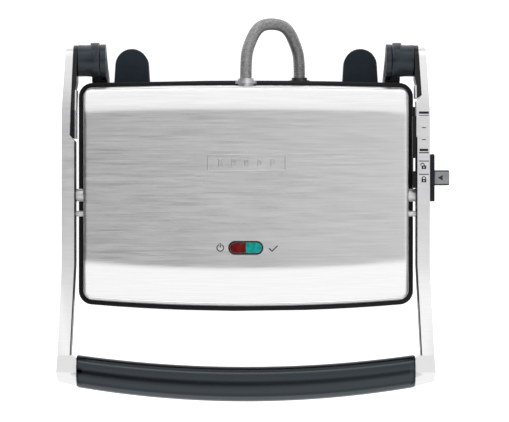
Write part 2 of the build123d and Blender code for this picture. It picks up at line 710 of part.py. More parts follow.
# Black rim with a shelf that the upper plate is screwed to, and a tongue that locates the cover.
plate_screw_x = half_width - plate_screw_inset
with BuildPart() as lid_rim:
    slab(lid_low_z, cover_low_z, 0)
    chamfer(lid_rim.edges().group_by(Axis.Z)[-1], lid_rim_edge)
    cover_slope = (cover_inset_high - cover_inset_low) / (lid_height - cover_low_z)
    tongue_inset = cover_inset_low + cover_wall + tongue_height * cover_slope + fixed_clearance
    slab(cover_low_z, cover_low_z + tongue_height, tongue_inset)
    slab(shelf_top_z, cover_low_z + tongue_height, tongue_inset + tongue_thickness, Mode.SUBTRACT)
    slab(lid_low_z, shelf_top_z, shelf_inset, Mode.SUBTRACT)
    slab(lid_low_z, shelf_low_z, upper_plate_inset - fixed_clearance, Mode.SUBTRACT)
    with BuildSketch(Plane.XY.offset(shelf_low_z)) as shelf_holes:
        with GridLocations(2 * plate_screw_x, 2 * plate_screw_y, 2, 2):
            Circle(plate_screw_radius + fixed_clearance)
    extrude(amount=shelf_thickness, mode=Mode.SUBTRACT)
    for side in (-1, 1):
        middle_x = side * (half_width - shelf_inset / 2)
        block(
            middle_x - shelf_inset, middle_x + shelf_inset,
            pivot_y - bracket_half_length, pivot_y + bracket_half_length,
            cover_low_z, cover_low_z + tongue_height, Mode.SUBTRACT,
        )
save(lid_rim, "lid_rim")

# Ridged cast plate: the ridges run from front to rear.
groove_count = int(2 * (half_width - upper_plate_inset) / ridge_pitch)
plate_screw_low_z = upper_plate_top_z - plate_thickness + plate_screw_skin
with BuildPart() as upper_plate:
    slab(ridge_tip_z, upper_plate_top_z, upper_plate_inset)
    with BuildSketch(Plane.XY.offset(ridge_tip_z)) as grooves:
        with GridLocations(ridge_pitch, 1, groove_count, 1):
            Rectangle(groove_width, 2 * (side_rear_y - side_front_y))
    extrude(amount=ridge_height, mode=Mode.SUBTRACT)
    with BuildSketch(Plane.XY.offset(plate_screw_low_z)) as plate_holes:
        with GridLocations(2 * plate_screw_x, 2 * plate_screw_y, 2, 2):
            Circle(plate_screw_radius + fixed_clearance)
    extrude(amount=plate_thickness, mode=Mode.SUBTRACT)
save(upper_plate, "upper_plate")

with BuildPart() as lid_screws:
    for low, height, radius in (
        (plate_screw_low_z, shelf_top_z - plate_screw_low_z, plate_screw_radius),
        (shelf_top_z, plate_screw_head, plate_screw_head_radius),
    ):
        with BuildSketch(Plane.XY.offset(low)) as disc:
            with GridLocations(2 * plate_screw_x, 2 * plate_screw_y, 2, 2):
                Circle(radius)
        extrude(amount=height)
save(lid_screws, "lid_screws")

upper_element_z = upper_plate_top_z + element_radius
with BuildPart() as upper_element:
    with BuildSketch(element_start(upper_element_z)):
        Circle(element_radius)
    sweep(path=element_path(upper_element_z))
save(upper_element, "upper_element")

with BuildPart() as upper_heat_shield:
    upper_shield_z = upper_element_z + element_radius + shield_gap
    shield_inset = half_width - bracket_x + shield_gap / 2
    slab(upper_shield_z, upper_shield_z + shield_thickness, shield_inset)
save(upper_heat_shield, "upper_heat_shield")

with BuildPart() as thermostat:
    rod(facing_z(0, 0, upper_plate_top_z), thermostat_radius, thermostat_height - thermostat_step)
    rod(facing_z(0, 0, upper_plate_top_z), thermostat_radius - 2 * thermostat_step, thermostat_height)
save(thermostat, "thermostat")

# ---- indicator lights ----
light_base_z = lid_height - light_depth
well_length = light_length - 2 * (light_lip + light_wall)
well_width = light_width - 2 * (light_lip + light_wall)
with BuildPart() as light_frame:
    pill(
        light_base_z,
        light_length - 2 * (light_lip + fixed_clearance),
        light_width - 2 * (light_lip + fixed_clearance),
        light_depth,
    )
    pill(lid_height, light_length, light_width, light_lip_height)
    fillet(light_frame.edges().group_by(Axis.Z)[-1], light_edge)
    pill(light_base_z, well_length, well_width, beyond, Mode.SUBTRACT)
    block(
        -light_bar / 2, light_bar / 2,
        light_y - well_width / 2 - bar_overlap, light_y + well_width / 2 + bar_overlap,
        light_base_z, lid_height + light_lip_height - bar_below_lip,
    )
save(light_frame, "light_frame")

# Each lens is its own half of one domed pill, parted by the frame's bar.
lens_start_x = light_bar / 2 + fixed_clearance
for side, name in ((-1, "red_lens"), (1, "green_lens")):
    with BuildPart() as lens:
        pill(
            lid_height - lens_depth + lens_rise, well_length - 2 * fixed_clearance,
            well_width - 2 * fixed_clearance, lens_depth,
        )
        fillet(lens.edges().group_by(Axis.Z)[-1], lens_edge)
        inner_x, far_x = side * lens_start_x, -side * light_length
        block(
            min(inner_x, far_x), max(inner_x, far_x), light_y - light_width, light_y + light_width,
            light_base_z, lid_height + beyond, Mode.SUBTRACT,
        )
    save(lens, name)

with BuildPart() as pilot_lamps:
    pill(
        light_base_z - lamp_board, light_length - 2 * lamp_board_inset_x,
        light_width - 2 * lamp_board_inset_y, lamp_board,
    )
    for side in (-1, 1):
        rod(facing_z(side * lamp_x, light_y, light_base_z), lamp_radius, lamp_length)
save(pilot_lamps, "pilot_lamps")

# ---- pivots that hang the lid in the arms ----

bracket_front_y, bracket_rear_y = pivot_y - bracket_half_length - bracket_nose, pivot_y + bracket_half_length
with BuildPart() as pivot_bracket:
    block(
        bracket_x - bracket_foot, bracket_x + bracket_thickness,
        pivot_y - bracket_half_length, pivot_y + bracket_half_length,
        shelf_top_z, shelf_top_z + bracket_thickness,
    )
    side_shape(
        bracket_x,
        bracket_x + bracket_thickness,
        (
            (bracket_front_y, shelf_top_z + bracket_nose),
            (pivot_y - bracket_half_length, shelf_top_z),
            (bracket_rear_y, shelf_top_z),
            (bracket_rear_y, bracket_top_z - bracket_corner),
            (bracket_rear_y - bracket_corner, bracket_top_z),
            (bracket_front_y + bracket_corner, bracket_top_z),
            (bracket_front_y, bracket_top_z - bracket_slope),
        ),
    )
    for y, z, radius in (
        (pivot_y, pivot_z, pivot_pin_radius),
        (pivot_y - stop_reach, pivot_z + stop_rise, stop_nub_radius),
    ):
        rod(facing_x(bracket_x, y, z), radius + running_clearance, bracket_thickness, Mode.SUBTRACT)
save_pair(pivot_bracket, "pivot_bracket")

with BuildPart() as pivot_pin:
    rod(
        facing_x(bracket_x - pin_tail, pivot_y, pivot_z), pivot_pin_radius,
        pivot_pin_end_x - bracket_x + pin_tail,
    )
    rod(
        facing_x(bracket_x + bracket_thickness, pivot_y, pivot_z), boss_radius,
        boss_end_x - bracket_x - bracket_thickness,
    )
save_pair(pivot_pin, "pivot_pin")

stop_y, stop_z = pivot_y - stop_reach, pivot_z + stop_rise
with BuildPart() as tilt_stop_pin:
    rod(facing_x(bracket_x - stop_tail, stop_y, stop_z), stop_nub_radius, stop_end_x - bracket_x + stop_tail)
    rod(
        facing_x(bracket_x + bracket_thickness, stop_y, stop_z), stop_radius,
        boss_end_x - bracket_x - bracket_thickness,
    )
save_pair(tilt_stop_pin, "tilt_stop_pin")

# =====================================================================
# Handle frame
# =====================================================================


def hinge_tangent(y, z, side):
    """Where a line from (y, z) touches the arm's round rear end, above it (1) or below it (-1)."""
    reach = math.hypot(hinge_y - y, hinge_z - z)
    bearing = math.atan2(hinge_z - z, hinge_y - y) + side * math.asin(arm_rear_radius / reach)
    length = math.sqrt(reach**2 - arm_rear_radius**2)
    return (y + length * math.cos(bearing), z + length * math.sin(bearing))


def arm_side(x0, x1, mode=Mode.ADD):
    """The arm's side: round at the hinge, level in the middle and falling to the handle."""
    top_touch = hinge_tangent(kink_rear_y, arm_top_z, 1)
    low_touch = hinge_tangent(kink_rear_y, arm_low_z, -1)
    with BuildSketch(facing_x(x0, 0, 0)) as section:
        with BuildLine():
            Polyline(
                low_touch,
                (kink_rear_y, arm_low_z),
                (kink_front_y, arm_low_z),
                (arm_front_y, arm_low_z - arm_front_drop),
                (arm_front_y, arm_top_z - arm_front_drop),
                (kink_front_y, arm_top_z),
                (kink_rear_y, arm_top_z),
                top_touch,
            )
            ThreePointArc(top_touch, (hinge_y + arm_rear_radius, hinge_z), low_touch)
        make_face()
    extrude(section.sketch, amount=x1 - x0, mode=mode)


stop_start = 180 - math.degrees(math.atan2(stop_rise, stop_reach)) - stop_slot_up


def arm_blank(liner_front_y):
    """A right-hand arm whose hollow for the liner starts at liner_front_y."""
    with BuildPart() as blank:
        arm_side(arm_inner_x - beyond, arm_outer_x + beyond)
        plan_shape(
            plan_low,
            plan_high,
            (
                (arm_rear_outer_x, arm_rear_y + arm_overrun),
                (arm_outer_x, kink_rear_y),
                (arm_outer_x, kink_front_y),
                (arm_front_outer_x, arm_front_y),
                (arm_front_inner_x, arm_front_y),
                (arm_inner_x, kink_front_y),
                (arm_inner_x, liner_front_y - liner_lead),
                (liner_outer_x, liner_front_y),
                (arm_rear_inner_x, arm_rear_y + arm_overrun),
            ),
            Mode.INTERSECT,
        )
        for y, z, radius, end_x in (
            (hinge_y, hinge_z, hinge_pin_radius, hinge_pin_end_x),
            (pivot_y, pivot_z, pivot_pin_radius, pivot_pin_end_x),
        ):
            depth = end_x - bearing_x + pin_end_clearance
            rod(facing_x(bearing_x, y, z), radius + running_clearance, depth, Mode.SUBTRACT)
        with BuildLine() as stop_path:
            CenterArc((0, 0), math.hypot(stop_reach, stop_rise), stop_start, stop_slot_up + stop_slot_down)
        with BuildSketch(facing_x(bearing_x, pivot_y, pivot_z)) as arc_slot:
            SlotArc(stop_path.line.edge(), 2 * (stop_nub_radius + sliding_clearance))
        extrude(arc_slot.sketch, amount=stop_end_x - bearing_x + pin_end_clearance, mode=Mode.SUBTRACT)
    return blank


save_twin(arm_blank(liner_left_front_y), "arm")

# The right arm has a long slot for the slider, wide inside for the carriage and narrow at its outer face.
with BuildPart() as arm_right:
    add(arm_blank(liner_right_front_y).part)
    for x0, x1, length, low, high in (
        (
            carriage_x0, carriage_x1, carriage_length,
            slider_z - carriage_height / 2, slider_z + carriage_height / 2 + spring_rise,
        ),
        (carriage_x0, carriage_x0 + leg_thickness, leg_length, arm_low_z - beyond, slider_z),
        (
            carriage_x1, arm_outer_x + beyond, neck_length,
            slider_z - neck_height / 2, slider_z + neck_height / 2,
        ),
    ):
        block(
            x0 - sliding_clearance, x1 + sliding_clearance,
            slider_y - length / 2 - sliding_clearance, slider_rear_y + length / 2 + sliding_clearance,
            low - sliding_clearance, high + sliding_clearance, Mode.SUBTRACT,
        )
save(arm_right, "arm_right")

# Black inner lining of each arm's rear half, with a thin steel strip let into its lid side.
for side_name, liner_front_y in (("right", liner_right_front_y), ("left", liner_left_front_y)):
    strip_front_y = liner_front_y - strip_lead
    strip_end_y = max(strip_rear_y, strip_front_y + strip_shortest)
    with BuildPart() as arm_liner:
        arm_side(pass_x - beyond, arm_outer_x)
        plan_shape(
            plan_low,
            plan_high,
            (
                (arm_rear_inner_x, arm_rear_y),
                (liner_outer_x, liner_front_y),
                (arm_inner_x + liner_edge, strip_front_y),
                (strip_x, strip_front_y),
                (strip_x, strip_end_y),
                (pass_x, strip_end_y + liner_lead),
                (pass_x, arm_rear_y),
            ),
            Mode.INTERSECT,
        )
        bore = hinge_pin_radius + running_clearance
        rod(facing_x(bearing_x, hinge_y, hinge_z), bore, beyond, Mode.SUBTRACT)
    with BuildPart() as arm_strip:
        arm_side(pass_x - beyond, arm_outer_x)
        plan_shape(
            plan_low,
            plan_high,
            (
                (pass_x, strip_front_y),
                (strip_x, strip_front_y),
                (strip_x, strip_end_y),
                (pass_x, strip_end_y),
            ),
            Mode.INTERSECT,
        )
    for built, name in ((arm_liner, "arm_liner"), (arm_strip, "arm_strip")):
        if side_name == "right":
            save(built, name + "_right")
        else:
            save_twin(built, name)

with BuildPart() as hinge_barrel:
    rod(facing_x(barrel_inner_x, hinge_y, hinge_z), barrel_radius, pass_x - barrel_inner_x)
    rod(
        facing_x(barrel_inner_x, hinge_y, hinge_z), hinge_pin_radius + running_clearance,
        beyond, Mode.SUBTRACT,
    )
save_pair(hinge_barrel, "hinge_barrel")

# ---- handle ----


def bowed_plan(z):
    """The grip's plan: both long edges bow forward."""
    with BuildSketch(Plane.XY.offset(z)) as plan:
        with BuildLine():
            ThreePointArc(
                (-grip_end_x, grip_front_end_y), (0, grip_front_middle_y), (grip_end_x, grip_front_end_y)
            )
            Line((grip_end_x, grip_front_end_y), (grip_end_x, grip_rear_end_y))
            ThreePointArc(
                (grip_end_x, grip_rear_end_y), (0, grip_rear_middle_y), (-grip_end_x, grip_rear_end_y)
            )
            Line((-grip_end_x, grip_rear_end_y), (-grip_end_x, grip_front_end_y))
        make_face()
    return plan.sketch


core_middle_y = (grip_front_middle_y + grip_rear_middle_y) / 2
core_bow = (grip_front_end_y + grip_rear_end_y) / 2 - core_middle_y
core_bend_radius = (grip_end_x**2 + core_bow**2) / (2 * core_bow)
core_end_y = core_middle_y + core_bend_radius - math.sqrt(core_bend_radius**2 - core_end_x**2)


def core_bar(radius, mode=Mode.ADD):
    """A round bar along the middle of the grip."""
    with BuildLine() as path:
        ThreePointArc(
            (-core_end_x, core_end_y, grip_z), (0, core_middle_y, grip_z), (core_end_x, core_end_y, grip_z)
        )
    with BuildSketch(Plane(origin=path.line @ 0, z_dir=path.line % 0)) as section:
        Circle(radius)
    sweep(section.sketch, path=path.wire(), mode=mode)


with BuildPart() as handle_core:
    core_bar(core_radius)
save(handle_core, "handle_core")

with BuildPart() as handle_grip:
    extrude(bowed_plan(grip_z - grip_height / 2), amount=grip_height)
    long_edges = handle_grip.edges().filter_by(lambda edge: edge.length > grip_end_x)
    fillet(long_edges, grip_edge_radius)
    core_bar(core_radius + running_clearance, Mode.SUBTRACT)
save(handle_grip, "handle_grip")

elbow_foot_z = arm_low_z - arm_front_drop - elbow_below_arm
elbow_high_z = arm_top_z - arm_front_drop
arm_slope = arm_front_drop / (kink_front_y - arm_front_y)
with BuildPart() as handle_elbow:
    plan_shape(
        elbow_foot_z,
        elbow_high_z,
        (
            (arm_front_outer_x, arm_front_y),
            (elbow_outer_x, elbow_crease_y),
            (elbow_outer_x - elbow_taper, grip_front_end_y + elbow_corner),
            (grip_end_x, grip_front_end_y + elbow_past_grip),
            (grip_end_x, arm_front_y - elbow_heel),
            (arm_front_inner_x, arm_front_y),
        ),
    )
    side_shape(
        0,
        elbow_outer_x,
        (
            (arm_front_y, elbow_foot_z),
            (arm_front_y, elbow_high_z),
            (elbow_crease_y, elbow_high_z - arm_slope * (arm_front_y - elbow_crease_y)),
            (grip_front_end_y, elbow_nose_z),
            (grip_front_end_y, elbow_foot_z),
        ),
        Mode.INTERSECT,
    )
    core_bar(core_radius + running_clearance, Mode.SUBTRACT)
    rod(
        facing_z(elbow_screw_x, elbow_screw_y, 0), elbow_screw_radius + fixed_clearance,
        elbow_foot_z + elbow_screw_length + pin_end_clearance, Mode.SUBTRACT,
    )
save_pair(handle_elbow, "handle_elbow")

with BuildPart() as elbow_screws:
    for side in (-1, 1):
        screw_x = side * elbow_screw_x
        rod(facing_z(screw_x, elbow_screw_y, elbow_foot_z), elbow_screw_radius, elbow_screw_length)
        head_z = elbow_foot_z - elbow_screw_head
        rod(facing_z(screw_x, elbow_screw_y, head_z), elbow_screw_head_radius, elbow_screw_head)
save(elbow_screws, "elbow_screws")

# Black rail inside the right arm, with a slot in it.
with BuildPart() as height_rail:
    block(rail_inner_x, arm_inner_x, rail_front_y, rail_rear_y, rail_low_z, arm_top_z - rail_below_top)
    block(
        rail_inner_x + rail_wall, arm_inner_x - rail_wall, rail_slot_front_y, rail_slot_rear_y,
        rail_low_z - beyond, rail_low_z + beyond, Mode.SUBTRACT,
    )
save(height_rail, "height_rail")

# =====================================================================
# Height slider
# =====================================================================

with BuildPart() as slider_carriage:
    body_low_z, neck_low_z = slider_z - carriage_height / 2, slider_z - neck_height / 2
    for x0, x1, length, low, high in (
        (carriage_x0, carriage_x1, carriage_length, body_low_z, body_low_z + carriage_height),
        (carriage_x0, carriage_x0 + leg_thickness, leg_length, leg_foot_z, slider_z),
        (carriage_x1, slider_plate_x, neck_length, neck_low_z, neck_low_z + neck_height),
    ):
        block(x0, x1, slider_y - length / 2, slider_y + length / 2, low, high)
save(slider_carriage, "slider_carriage")

with BuildPart() as slider_plate:
    with BuildSketch(facing_x(slider_plate_x, slider_y, slider_z)) as face:
        RectangleRounded(slider_plate_length, slider_plate_height, slider_plate_corner)
    extrude(amount=slider_plate_thickness)
save(slider_plate, "slider_plate")

with BuildPart() as slider_knob:
    with BuildSketch(facing_x(knob_x, slider_y, slider_z)) as face:
        RectangleRounded(knob_length, knob_height, slider_plate_corner)
    extrude(amount=knob_reach)
    chamfer(slider_knob.edges().group_by(Axis.X)[-1], knob_edge)
save(slider_knob, "slider_knob")

# A bowed leaf that presses the carriage down on its detents.
with BuildPart() as detent_spring:
    spring_x = (carriage_x0 + carriage_x1) / 2
    spring_low_z = slider_z + carriage_height / 2
    spring_low = spring_rise - spring_thickness
    with BuildSketch(facing_x(spring_x - spring_width / 2, slider_y, spring_low_z)) as leaf:
        with BuildLine():
            Polyline(
                (-spring_half_length, 0),
                (-spring_half_length, spring_thickness),
                (-spring_flat, spring_rise),
                (spring_flat, spring_rise),
                (spring_half_length, spring_thickness),
                (spring_half_length, 0),
                (spring_flat, spring_low),
                (-spring_flat, spring_low),
                close=True,
            )
        make_face()
    extrude(amount=spring_width)
save(detent_spring, "detent_spring")
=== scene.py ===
"""Studio picture of a contact grill (panini press), closed and locked, seen from straight above."""

import math

import bmesh
import bpy
from mathutils import Matrix, Vector


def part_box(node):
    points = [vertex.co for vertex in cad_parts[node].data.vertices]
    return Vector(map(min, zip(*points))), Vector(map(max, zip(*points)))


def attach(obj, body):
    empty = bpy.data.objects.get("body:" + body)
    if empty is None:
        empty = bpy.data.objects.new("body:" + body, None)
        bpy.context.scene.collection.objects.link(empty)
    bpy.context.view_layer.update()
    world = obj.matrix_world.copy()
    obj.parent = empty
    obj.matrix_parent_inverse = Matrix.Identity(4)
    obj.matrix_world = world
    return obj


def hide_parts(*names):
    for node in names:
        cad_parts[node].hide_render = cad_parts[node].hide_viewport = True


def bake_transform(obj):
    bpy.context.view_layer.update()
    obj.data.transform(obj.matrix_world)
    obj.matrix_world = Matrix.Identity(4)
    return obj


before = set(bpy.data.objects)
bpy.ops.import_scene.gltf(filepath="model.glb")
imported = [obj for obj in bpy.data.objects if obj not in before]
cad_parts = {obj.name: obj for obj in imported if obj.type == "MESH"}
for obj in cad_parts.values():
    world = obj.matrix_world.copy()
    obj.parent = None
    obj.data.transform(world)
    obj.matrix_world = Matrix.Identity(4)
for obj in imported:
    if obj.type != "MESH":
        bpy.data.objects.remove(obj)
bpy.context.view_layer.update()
scene = bpy.context.scene

# ---- camera ----
# A long lens hung 2.4 m above the lid looks straight down. The handle is at the bottom of the picture.
lid_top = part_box("lid_cover")[1].z
camera_rise, picture_width = 2.4, 0.468
camera_x, camera_y, sight_limit = 0.0080, -0.0138, 20
camera = bpy.data.objects.new("camera", bpy.data.cameras.new("camera"))
camera.data.lens = camera.data.sensor_width * camera_rise / picture_width
camera.data.clip_end = sight_limit
camera.location = (camera_x, camera_y, lid_top + camera_rise)
scene.collection.objects.link(camera)
scene.camera = camera
scene.view_settings.view_transform = "Standard"

# ---- power conduit ----
# A wound steel spiral carries the lid's wires from a nut in the base's rear wall to one in the lid's.
# It is stiff enough to stand in an arch.
conduit_radius, rib_depth, rib_pitch, rib_sides = 0.0056, 0.0004, 0.0016, 28
rib_shape = (0.0, 0.45, 1.0, 0.45)  # how much of the rib's depth each ring of one pitch is sunk by
lid_leg_y = 0.136  # the lid's leg of the arch begins here
base_exit = Vector((0.0504, 0.1122, 0.039))
lid_exit = Vector((0.0, 0.1091, 0.085))
corners = (
    base_exit,
    Vector((0.0504, 0.1340, 0.039)),
    Vector((0.0384, 0.1613, 0.054)),
    Vector((0.0120, 0.1613, 0.070)),
    Vector((0.0000, 0.1340, 0.085)),
    lid_exit,
)
corner_share = 0.22  # of the runs beside a corner, that the two points in its place stand off from it
route = [base_exit]
for before, corner, after in zip(corners, corners[1:], corners[2:]):
    route += [corner.lerp(before, corner_share), corner.lerp(after, corner_share)]
route.append(lid_exit)


class Signal:
    """A value that runs through a material's nodes, so that patterns are written as sums."""

    def __init__(self, tree, socket):
        self.tree, self.socket = tree, socket

    def node(self, kind, settings=None, **inputs):
        """Adds a node, first its settings and then its inputs, and returns its first output."""
        made = self.tree.nodes.new(kind)
        for name, value in (settings or {}).items():
            setattr(made, name, value)
        for name, value in inputs.items():
            key = int(name[1:]) if name[1:].isdigit() else name.replace("_", " ")
            if isinstance(value, Signal):
                self.tree.links.new(value.socket, made.inputs[key])
            else:
                made.inputs[key].default_value = value
        return Signal(self.tree, next(out for out in made.outputs if out.enabled))

    def sum(self, operation, other=0.0):
        """One step of arithmetic on the value."""
        return self.node("ShaderNodeMath", {"operation": operation}, _0=self, _1=other)

    def __add__(self, other):
        return self.sum("ADD", other)

    def __sub__(self, other):
        return self.sum("SUBTRACT", other)

    def __mul__(self, other):
        return self.sum("MULTIPLY", other)

    def __rsub__(self, other):
        return self.node("ShaderNodeMath", {"operation": "SUBTRACT"}, _0=other, _1=self)

    __radd__ = __add__

    def size(self):
        return self.sum("ABSOLUTE")

    def high(self, other):
        return self.sum("MAXIMUM", other)

    def low(self, other):
        return self.sum("MINIMUM", other)

    def length_with(self, other):
        """How far off a place is, by two of its coordinates."""
        return (self * self + other * other).sum("SQRT")

    def ramp(self, start, end, first=0.0, last=1.0):
        """Runs smoothly from first to last as the value goes from start to end."""
        return self.node(
            "ShaderNodeMapRange", {"interpolation_type": "SMOOTHSTEP"},
            _0=self, _1=start, _2=end, _3=first, _4=last,
        )

    def colour(self, start, end):
        """Mixes two colours by this value."""
        mix = self.tree.nodes.new("ShaderNodeMix")
        mix.data_type = "RGBA"
        self.tree.links.new(self.socket, mix.inputs["Factor"])
        for key, value in (("A", start), ("B", end)):
            target = next(i for i in mix.inputs if i.name == key and i.type == "RGBA")
            if isinstance(value, Signal):
                self.tree.links.new(value.socket, target)
            else:
                target.default_value = (*value, 1.0)
        return Signal(self.tree, next(o for o in mix.outputs if o.type == "RGBA"))


class Finish:
    """A material with one shader and the place of each point on the object, in metres."""

    def __init__(self, name, **constants):
        self.material = bpy.data.materials.new(name)
        self.material.use_nodes = True
        self.tree = self.material.node_tree
        self.shader = self.tree.nodes["Principled BSDF"]
        for key, value in constants.items():
            self.shader.inputs[key.replace("_", " ")].default_value = value
        place = self.tree.nodes.new("ShaderNodeTexCoord")
        self.place = Signal(self.tree, place.outputs["Object"])
        split = self.tree.nodes.new("ShaderNodeSeparateXYZ")
        self.tree.links.new(self.place.socket, split.inputs[0])
        self.x, self.y, self.z = (Signal(self.tree, out) for out in split.outputs)

    def stretched(self, x, y, z):
        """The place, counted finely along some axes and coarsely along others."""
        return self.place.node("ShaderNodeVectorMath", {"operation": "MULTIPLY"}, _0=self.place, _1=(x, y, z))

    def grain(self, scale, detail=2.0, place=None):
        """Smooth random blotches, as many to a metre as the scale."""
        return self.place.node(
            "ShaderNodeTexNoise", None, Vector=place or self.place, Scale=scale, Detail=detail
        )

    def feed(self, **signals):
        """Leads signals into the shader's inputs of those names."""
        for key, value in signals.items():
            self.tree.links.new(value.socket, self.shader.inputs[key.replace("_", " ")])

    def mottle(self, blotches, dark, light, fine_blotches, smooth, rough, details=(2.0, 2.0)):
        """Gives the shader two mottled colours, and a roughness that varies more finely."""
        self.feed(
            Base_Color=self.grain(blotches, details[0]).ramp(0.3, 0.7).colour(dark, light),
            Roughness=self.grain(fine_blotches, details[1]).ramp(0.2, 0.8, smooth, rough),
        )

    def relief(self, height, depth, strength):
        """Raises the surface by a height signal, in metres."""
        bump = self.place.node("ShaderNodeBump", None, Height=height, Distance=depth, Strength=strength)
        self.feed(Normal=bump)


def add_piece(name, shape, finish, body, smooth_degrees=35):
    """Makes a finished bmesh into a piece that rides on a body."""
    mesh = bpy.data.meshes.new(name)
    shape.to_mesh(mesh)
    shape.free()
    mesh.materials.append(finish.material)
    mesh.shade_smooth()
    mesh.set_sharp_from_angle(angle=math.radians(smooth_degrees))
    piece = bpy.data.objects.new(name, mesh)
    scene.collection.objects.link(piece)
    if body:
        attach(piece, body)
    return piece


def line_through(points, name, steps=24):
    """The smooth line that a route's points steer, as points close together."""
    curve = bpy.data.curves.new(name, "CURVE")
    curve.dimensions = "3D"
    curve.resolution_u = steps
    spline = curve.splines.new("NURBS")
    spline.points.add(len(points) - 1)
    for control, point in zip(spline.points, points):
        control.co = (*point, 1)
    spline.order_u = 3
    spline.use_endpoint_u = True
    holder = bpy.data.objects.new(name, curve)
    scene.collection.objects.link(holder)
    mesh = bpy.data.meshes.new_from_object(holder.evaluated_get(bpy.context.evaluated_depsgraph_get()))
    line = [v.co.copy() for v in mesh.vertices]
    bpy.data.objects.remove(holder)
    bpy.data.meshes.remove(mesh)
    return line


def evenly(line, gap):
    """Points a set gap apart along a line."""
    out, carried = [line[0].copy()], 0.0
    for start, end in zip(line, line[1:]):
        run = (end - start).length
        while carried + run >= gap and run > 0:
            start = start.lerp(end, (gap - carried) / run)
            run = (end - start).length
            carried = 0.0
            out.append(start.copy())
        carried += run
    least_gap = 1e-5
    return out + [line[-1].copy()] if (line[-1] - out[-1]).length > least_gap else out


def ribbed_tube(points, radius_at):
    """An open-ended tube of rings round a line, each ring as wide as radius_at says."""
    shape = bmesh.new()
    rings, side = [], Vector((0, 0, 1))
    for index, point in enumerate(points):
        ahead = (points[min(index + 1, len(points) - 1)] - points[max(index - 1, 0)]).normalized()
        side = (side - ahead * side.dot(ahead)).normalized()
        turn = Matrix((ahead.cross(side), side, ahead)).transposed().to_4x4()
        ring = bmesh.ops.create_circle(
            shape, segments=rib_sides, radius=radius_at(index), matrix=Matrix.Translation(point) @ turn
        )["verts"]
        if rings:
            edges = {e for v in rings[-1] + ring for e in v.link_edges if len(e.link_faces) < 2}
            loops = [
                e for e in edges
                if all(v in rings[-1] for v in e.verts) or all(v in ring for v in e.verts)
            ]
            bmesh.ops.bridge_loops(shape, edges=loops)
        rings.append(ring)
    bmesh.ops.recalc_face_normals(shape, faces=shape.faces)
    return shape


conduit_line = evenly(line_through(route, "conduit_route"), rib_pitch / len(rib_shape))
past_middle = len(conduit_line) / 2
split_at = next(i for i, p in enumerate(conduit_line) if i > past_middle and p.y < lid_leg_y)


def rib_radius(index):
    """The conduit's radius at a point of its line."""
    return conduit_radius - rib_depth * rib_shape[index % len(rib_shape)]


spiral = Finish("wound_spiral", Metallic=0.75)
scuff = spiral.grain(600.0)
spiral.feed(
    Base_Color=scuff.ramp(0.3, 0.7).colour((0.22, 0.22, 0.22), (0.36, 0.36, 0.355)),
    Roughness=spiral.grain(900.0).ramp(0.2, 0.8, 0.38, 0.55),
)
arch = add_piece(
    "conduit_arch", ribbed_tube(conduit_line[: split_at + 1], rib_radius), spiral, None,
    60,
)
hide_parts("power_conduit")
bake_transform(arch)
lid_leg = add_piece(
    "conduit_lid_leg", ribbed_tube(conduit_line[split_at:], lambda i: rib_radius(i + split_at)), spiral, None,
    60,
)
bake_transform(lid_leg)
arch_length = sum((b - a).length for a, b in zip(conduit_line[:split_at], conduit_line[1 : split_at + 1]))
[tuple(p) for p in conduit_line[: split_at + 1]]

# ---- floor and light ----
# A white table that glows by itself. The studio round it is a bright dome with a darker slit along the middle
# of its ceiling, a bright strip low behind the grill and another low before it, and dim ends to left and
# right. Three weak softboxes hang before, behind and to the right.
table_half, table_glow = 6.0, 0.78
floor = bpy.data.objects.new("floor", bpy.data.meshes.new("floor"))
floor_shape = bmesh.new()
bmesh.ops.create_grid(floor_shape, x_segments=1, y_segments=1, size=table_half)
floor_shape.to_mesh(floor.data)
floor_shape.free()
scene.collection.objects.link(floor)
paper = Finish(
    "table_paper", Roughness=0.9, Base_Color=(0.75, 0.75, 0.75, 1),
    Emission_Color=(1, 1, 1, 1), Emission_Strength=table_glow,
)
paper.feed(Roughness=paper.grain(60.0).ramp(0.0, 1.0, 0.85, 0.95))
floor.data.materials.append(paper.material)

world = bpy.data.worlds.new("studio")
scene.world = world
world.use_nodes = True
sky = Signal(world.node_tree, world.node_tree.nodes.new("ShaderNodeTexCoord").outputs["Generated"])
split = world.node_tree.nodes.new("ShaderNodeSeparateXYZ")
world.node_tree.links.new(sky.socket, split.inputs[0])
sky_x, sky_y = (Signal(world.node_tree, out) for out in split.outputs[:2])


def strip(across, start, end, edge=0.06):
    """A strip of the studio between two values, one inside it and none outside, with soft edges."""
    return across.ramp(start, start + edge) * across.ramp(end - edge, end, 1.0, 0.0)


# A direction is a point on a ball of radius 1, so sky_y is 0 overhead, 1 at the horizon behind the grill and
# -1 at the one before it.
off_middle = sky_y.size()
beside = off_middle.ramp(0.20, 0.44)
left_to_right = sky_x.ramp(-0.15, 0.15, -0.52, 0.46)
ceiling = 1.30 + left_to_right - off_middle.ramp(0.08, 0.22, 1.02, 0.0)
slopes = 1.40 - sky_y.ramp(0.30, 0.50, 0.0, 0.28) - off_middle.ramp(0.66, 0.80, 0.0, 0.62)
strip_behind, strip_before = strip(sky_y, 0.78, 0.93) * 2.8, (sky_y * -1.0).ramp(0.90, 0.99, 0.0, 1.5)
dim_ends = sky_x.size().ramp(0.40, 0.80, 1.0, 0.30)
glow = (ceiling * (1.0 - beside) + beside * slopes + strip_behind + strip_before) * dim_ends
background = world.node_tree.nodes["Background"]
background.inputs["Color"].default_value = (1, 1, 1, 1)
world.node_tree.links.new(glow.socket, background.inputs["Strength"])


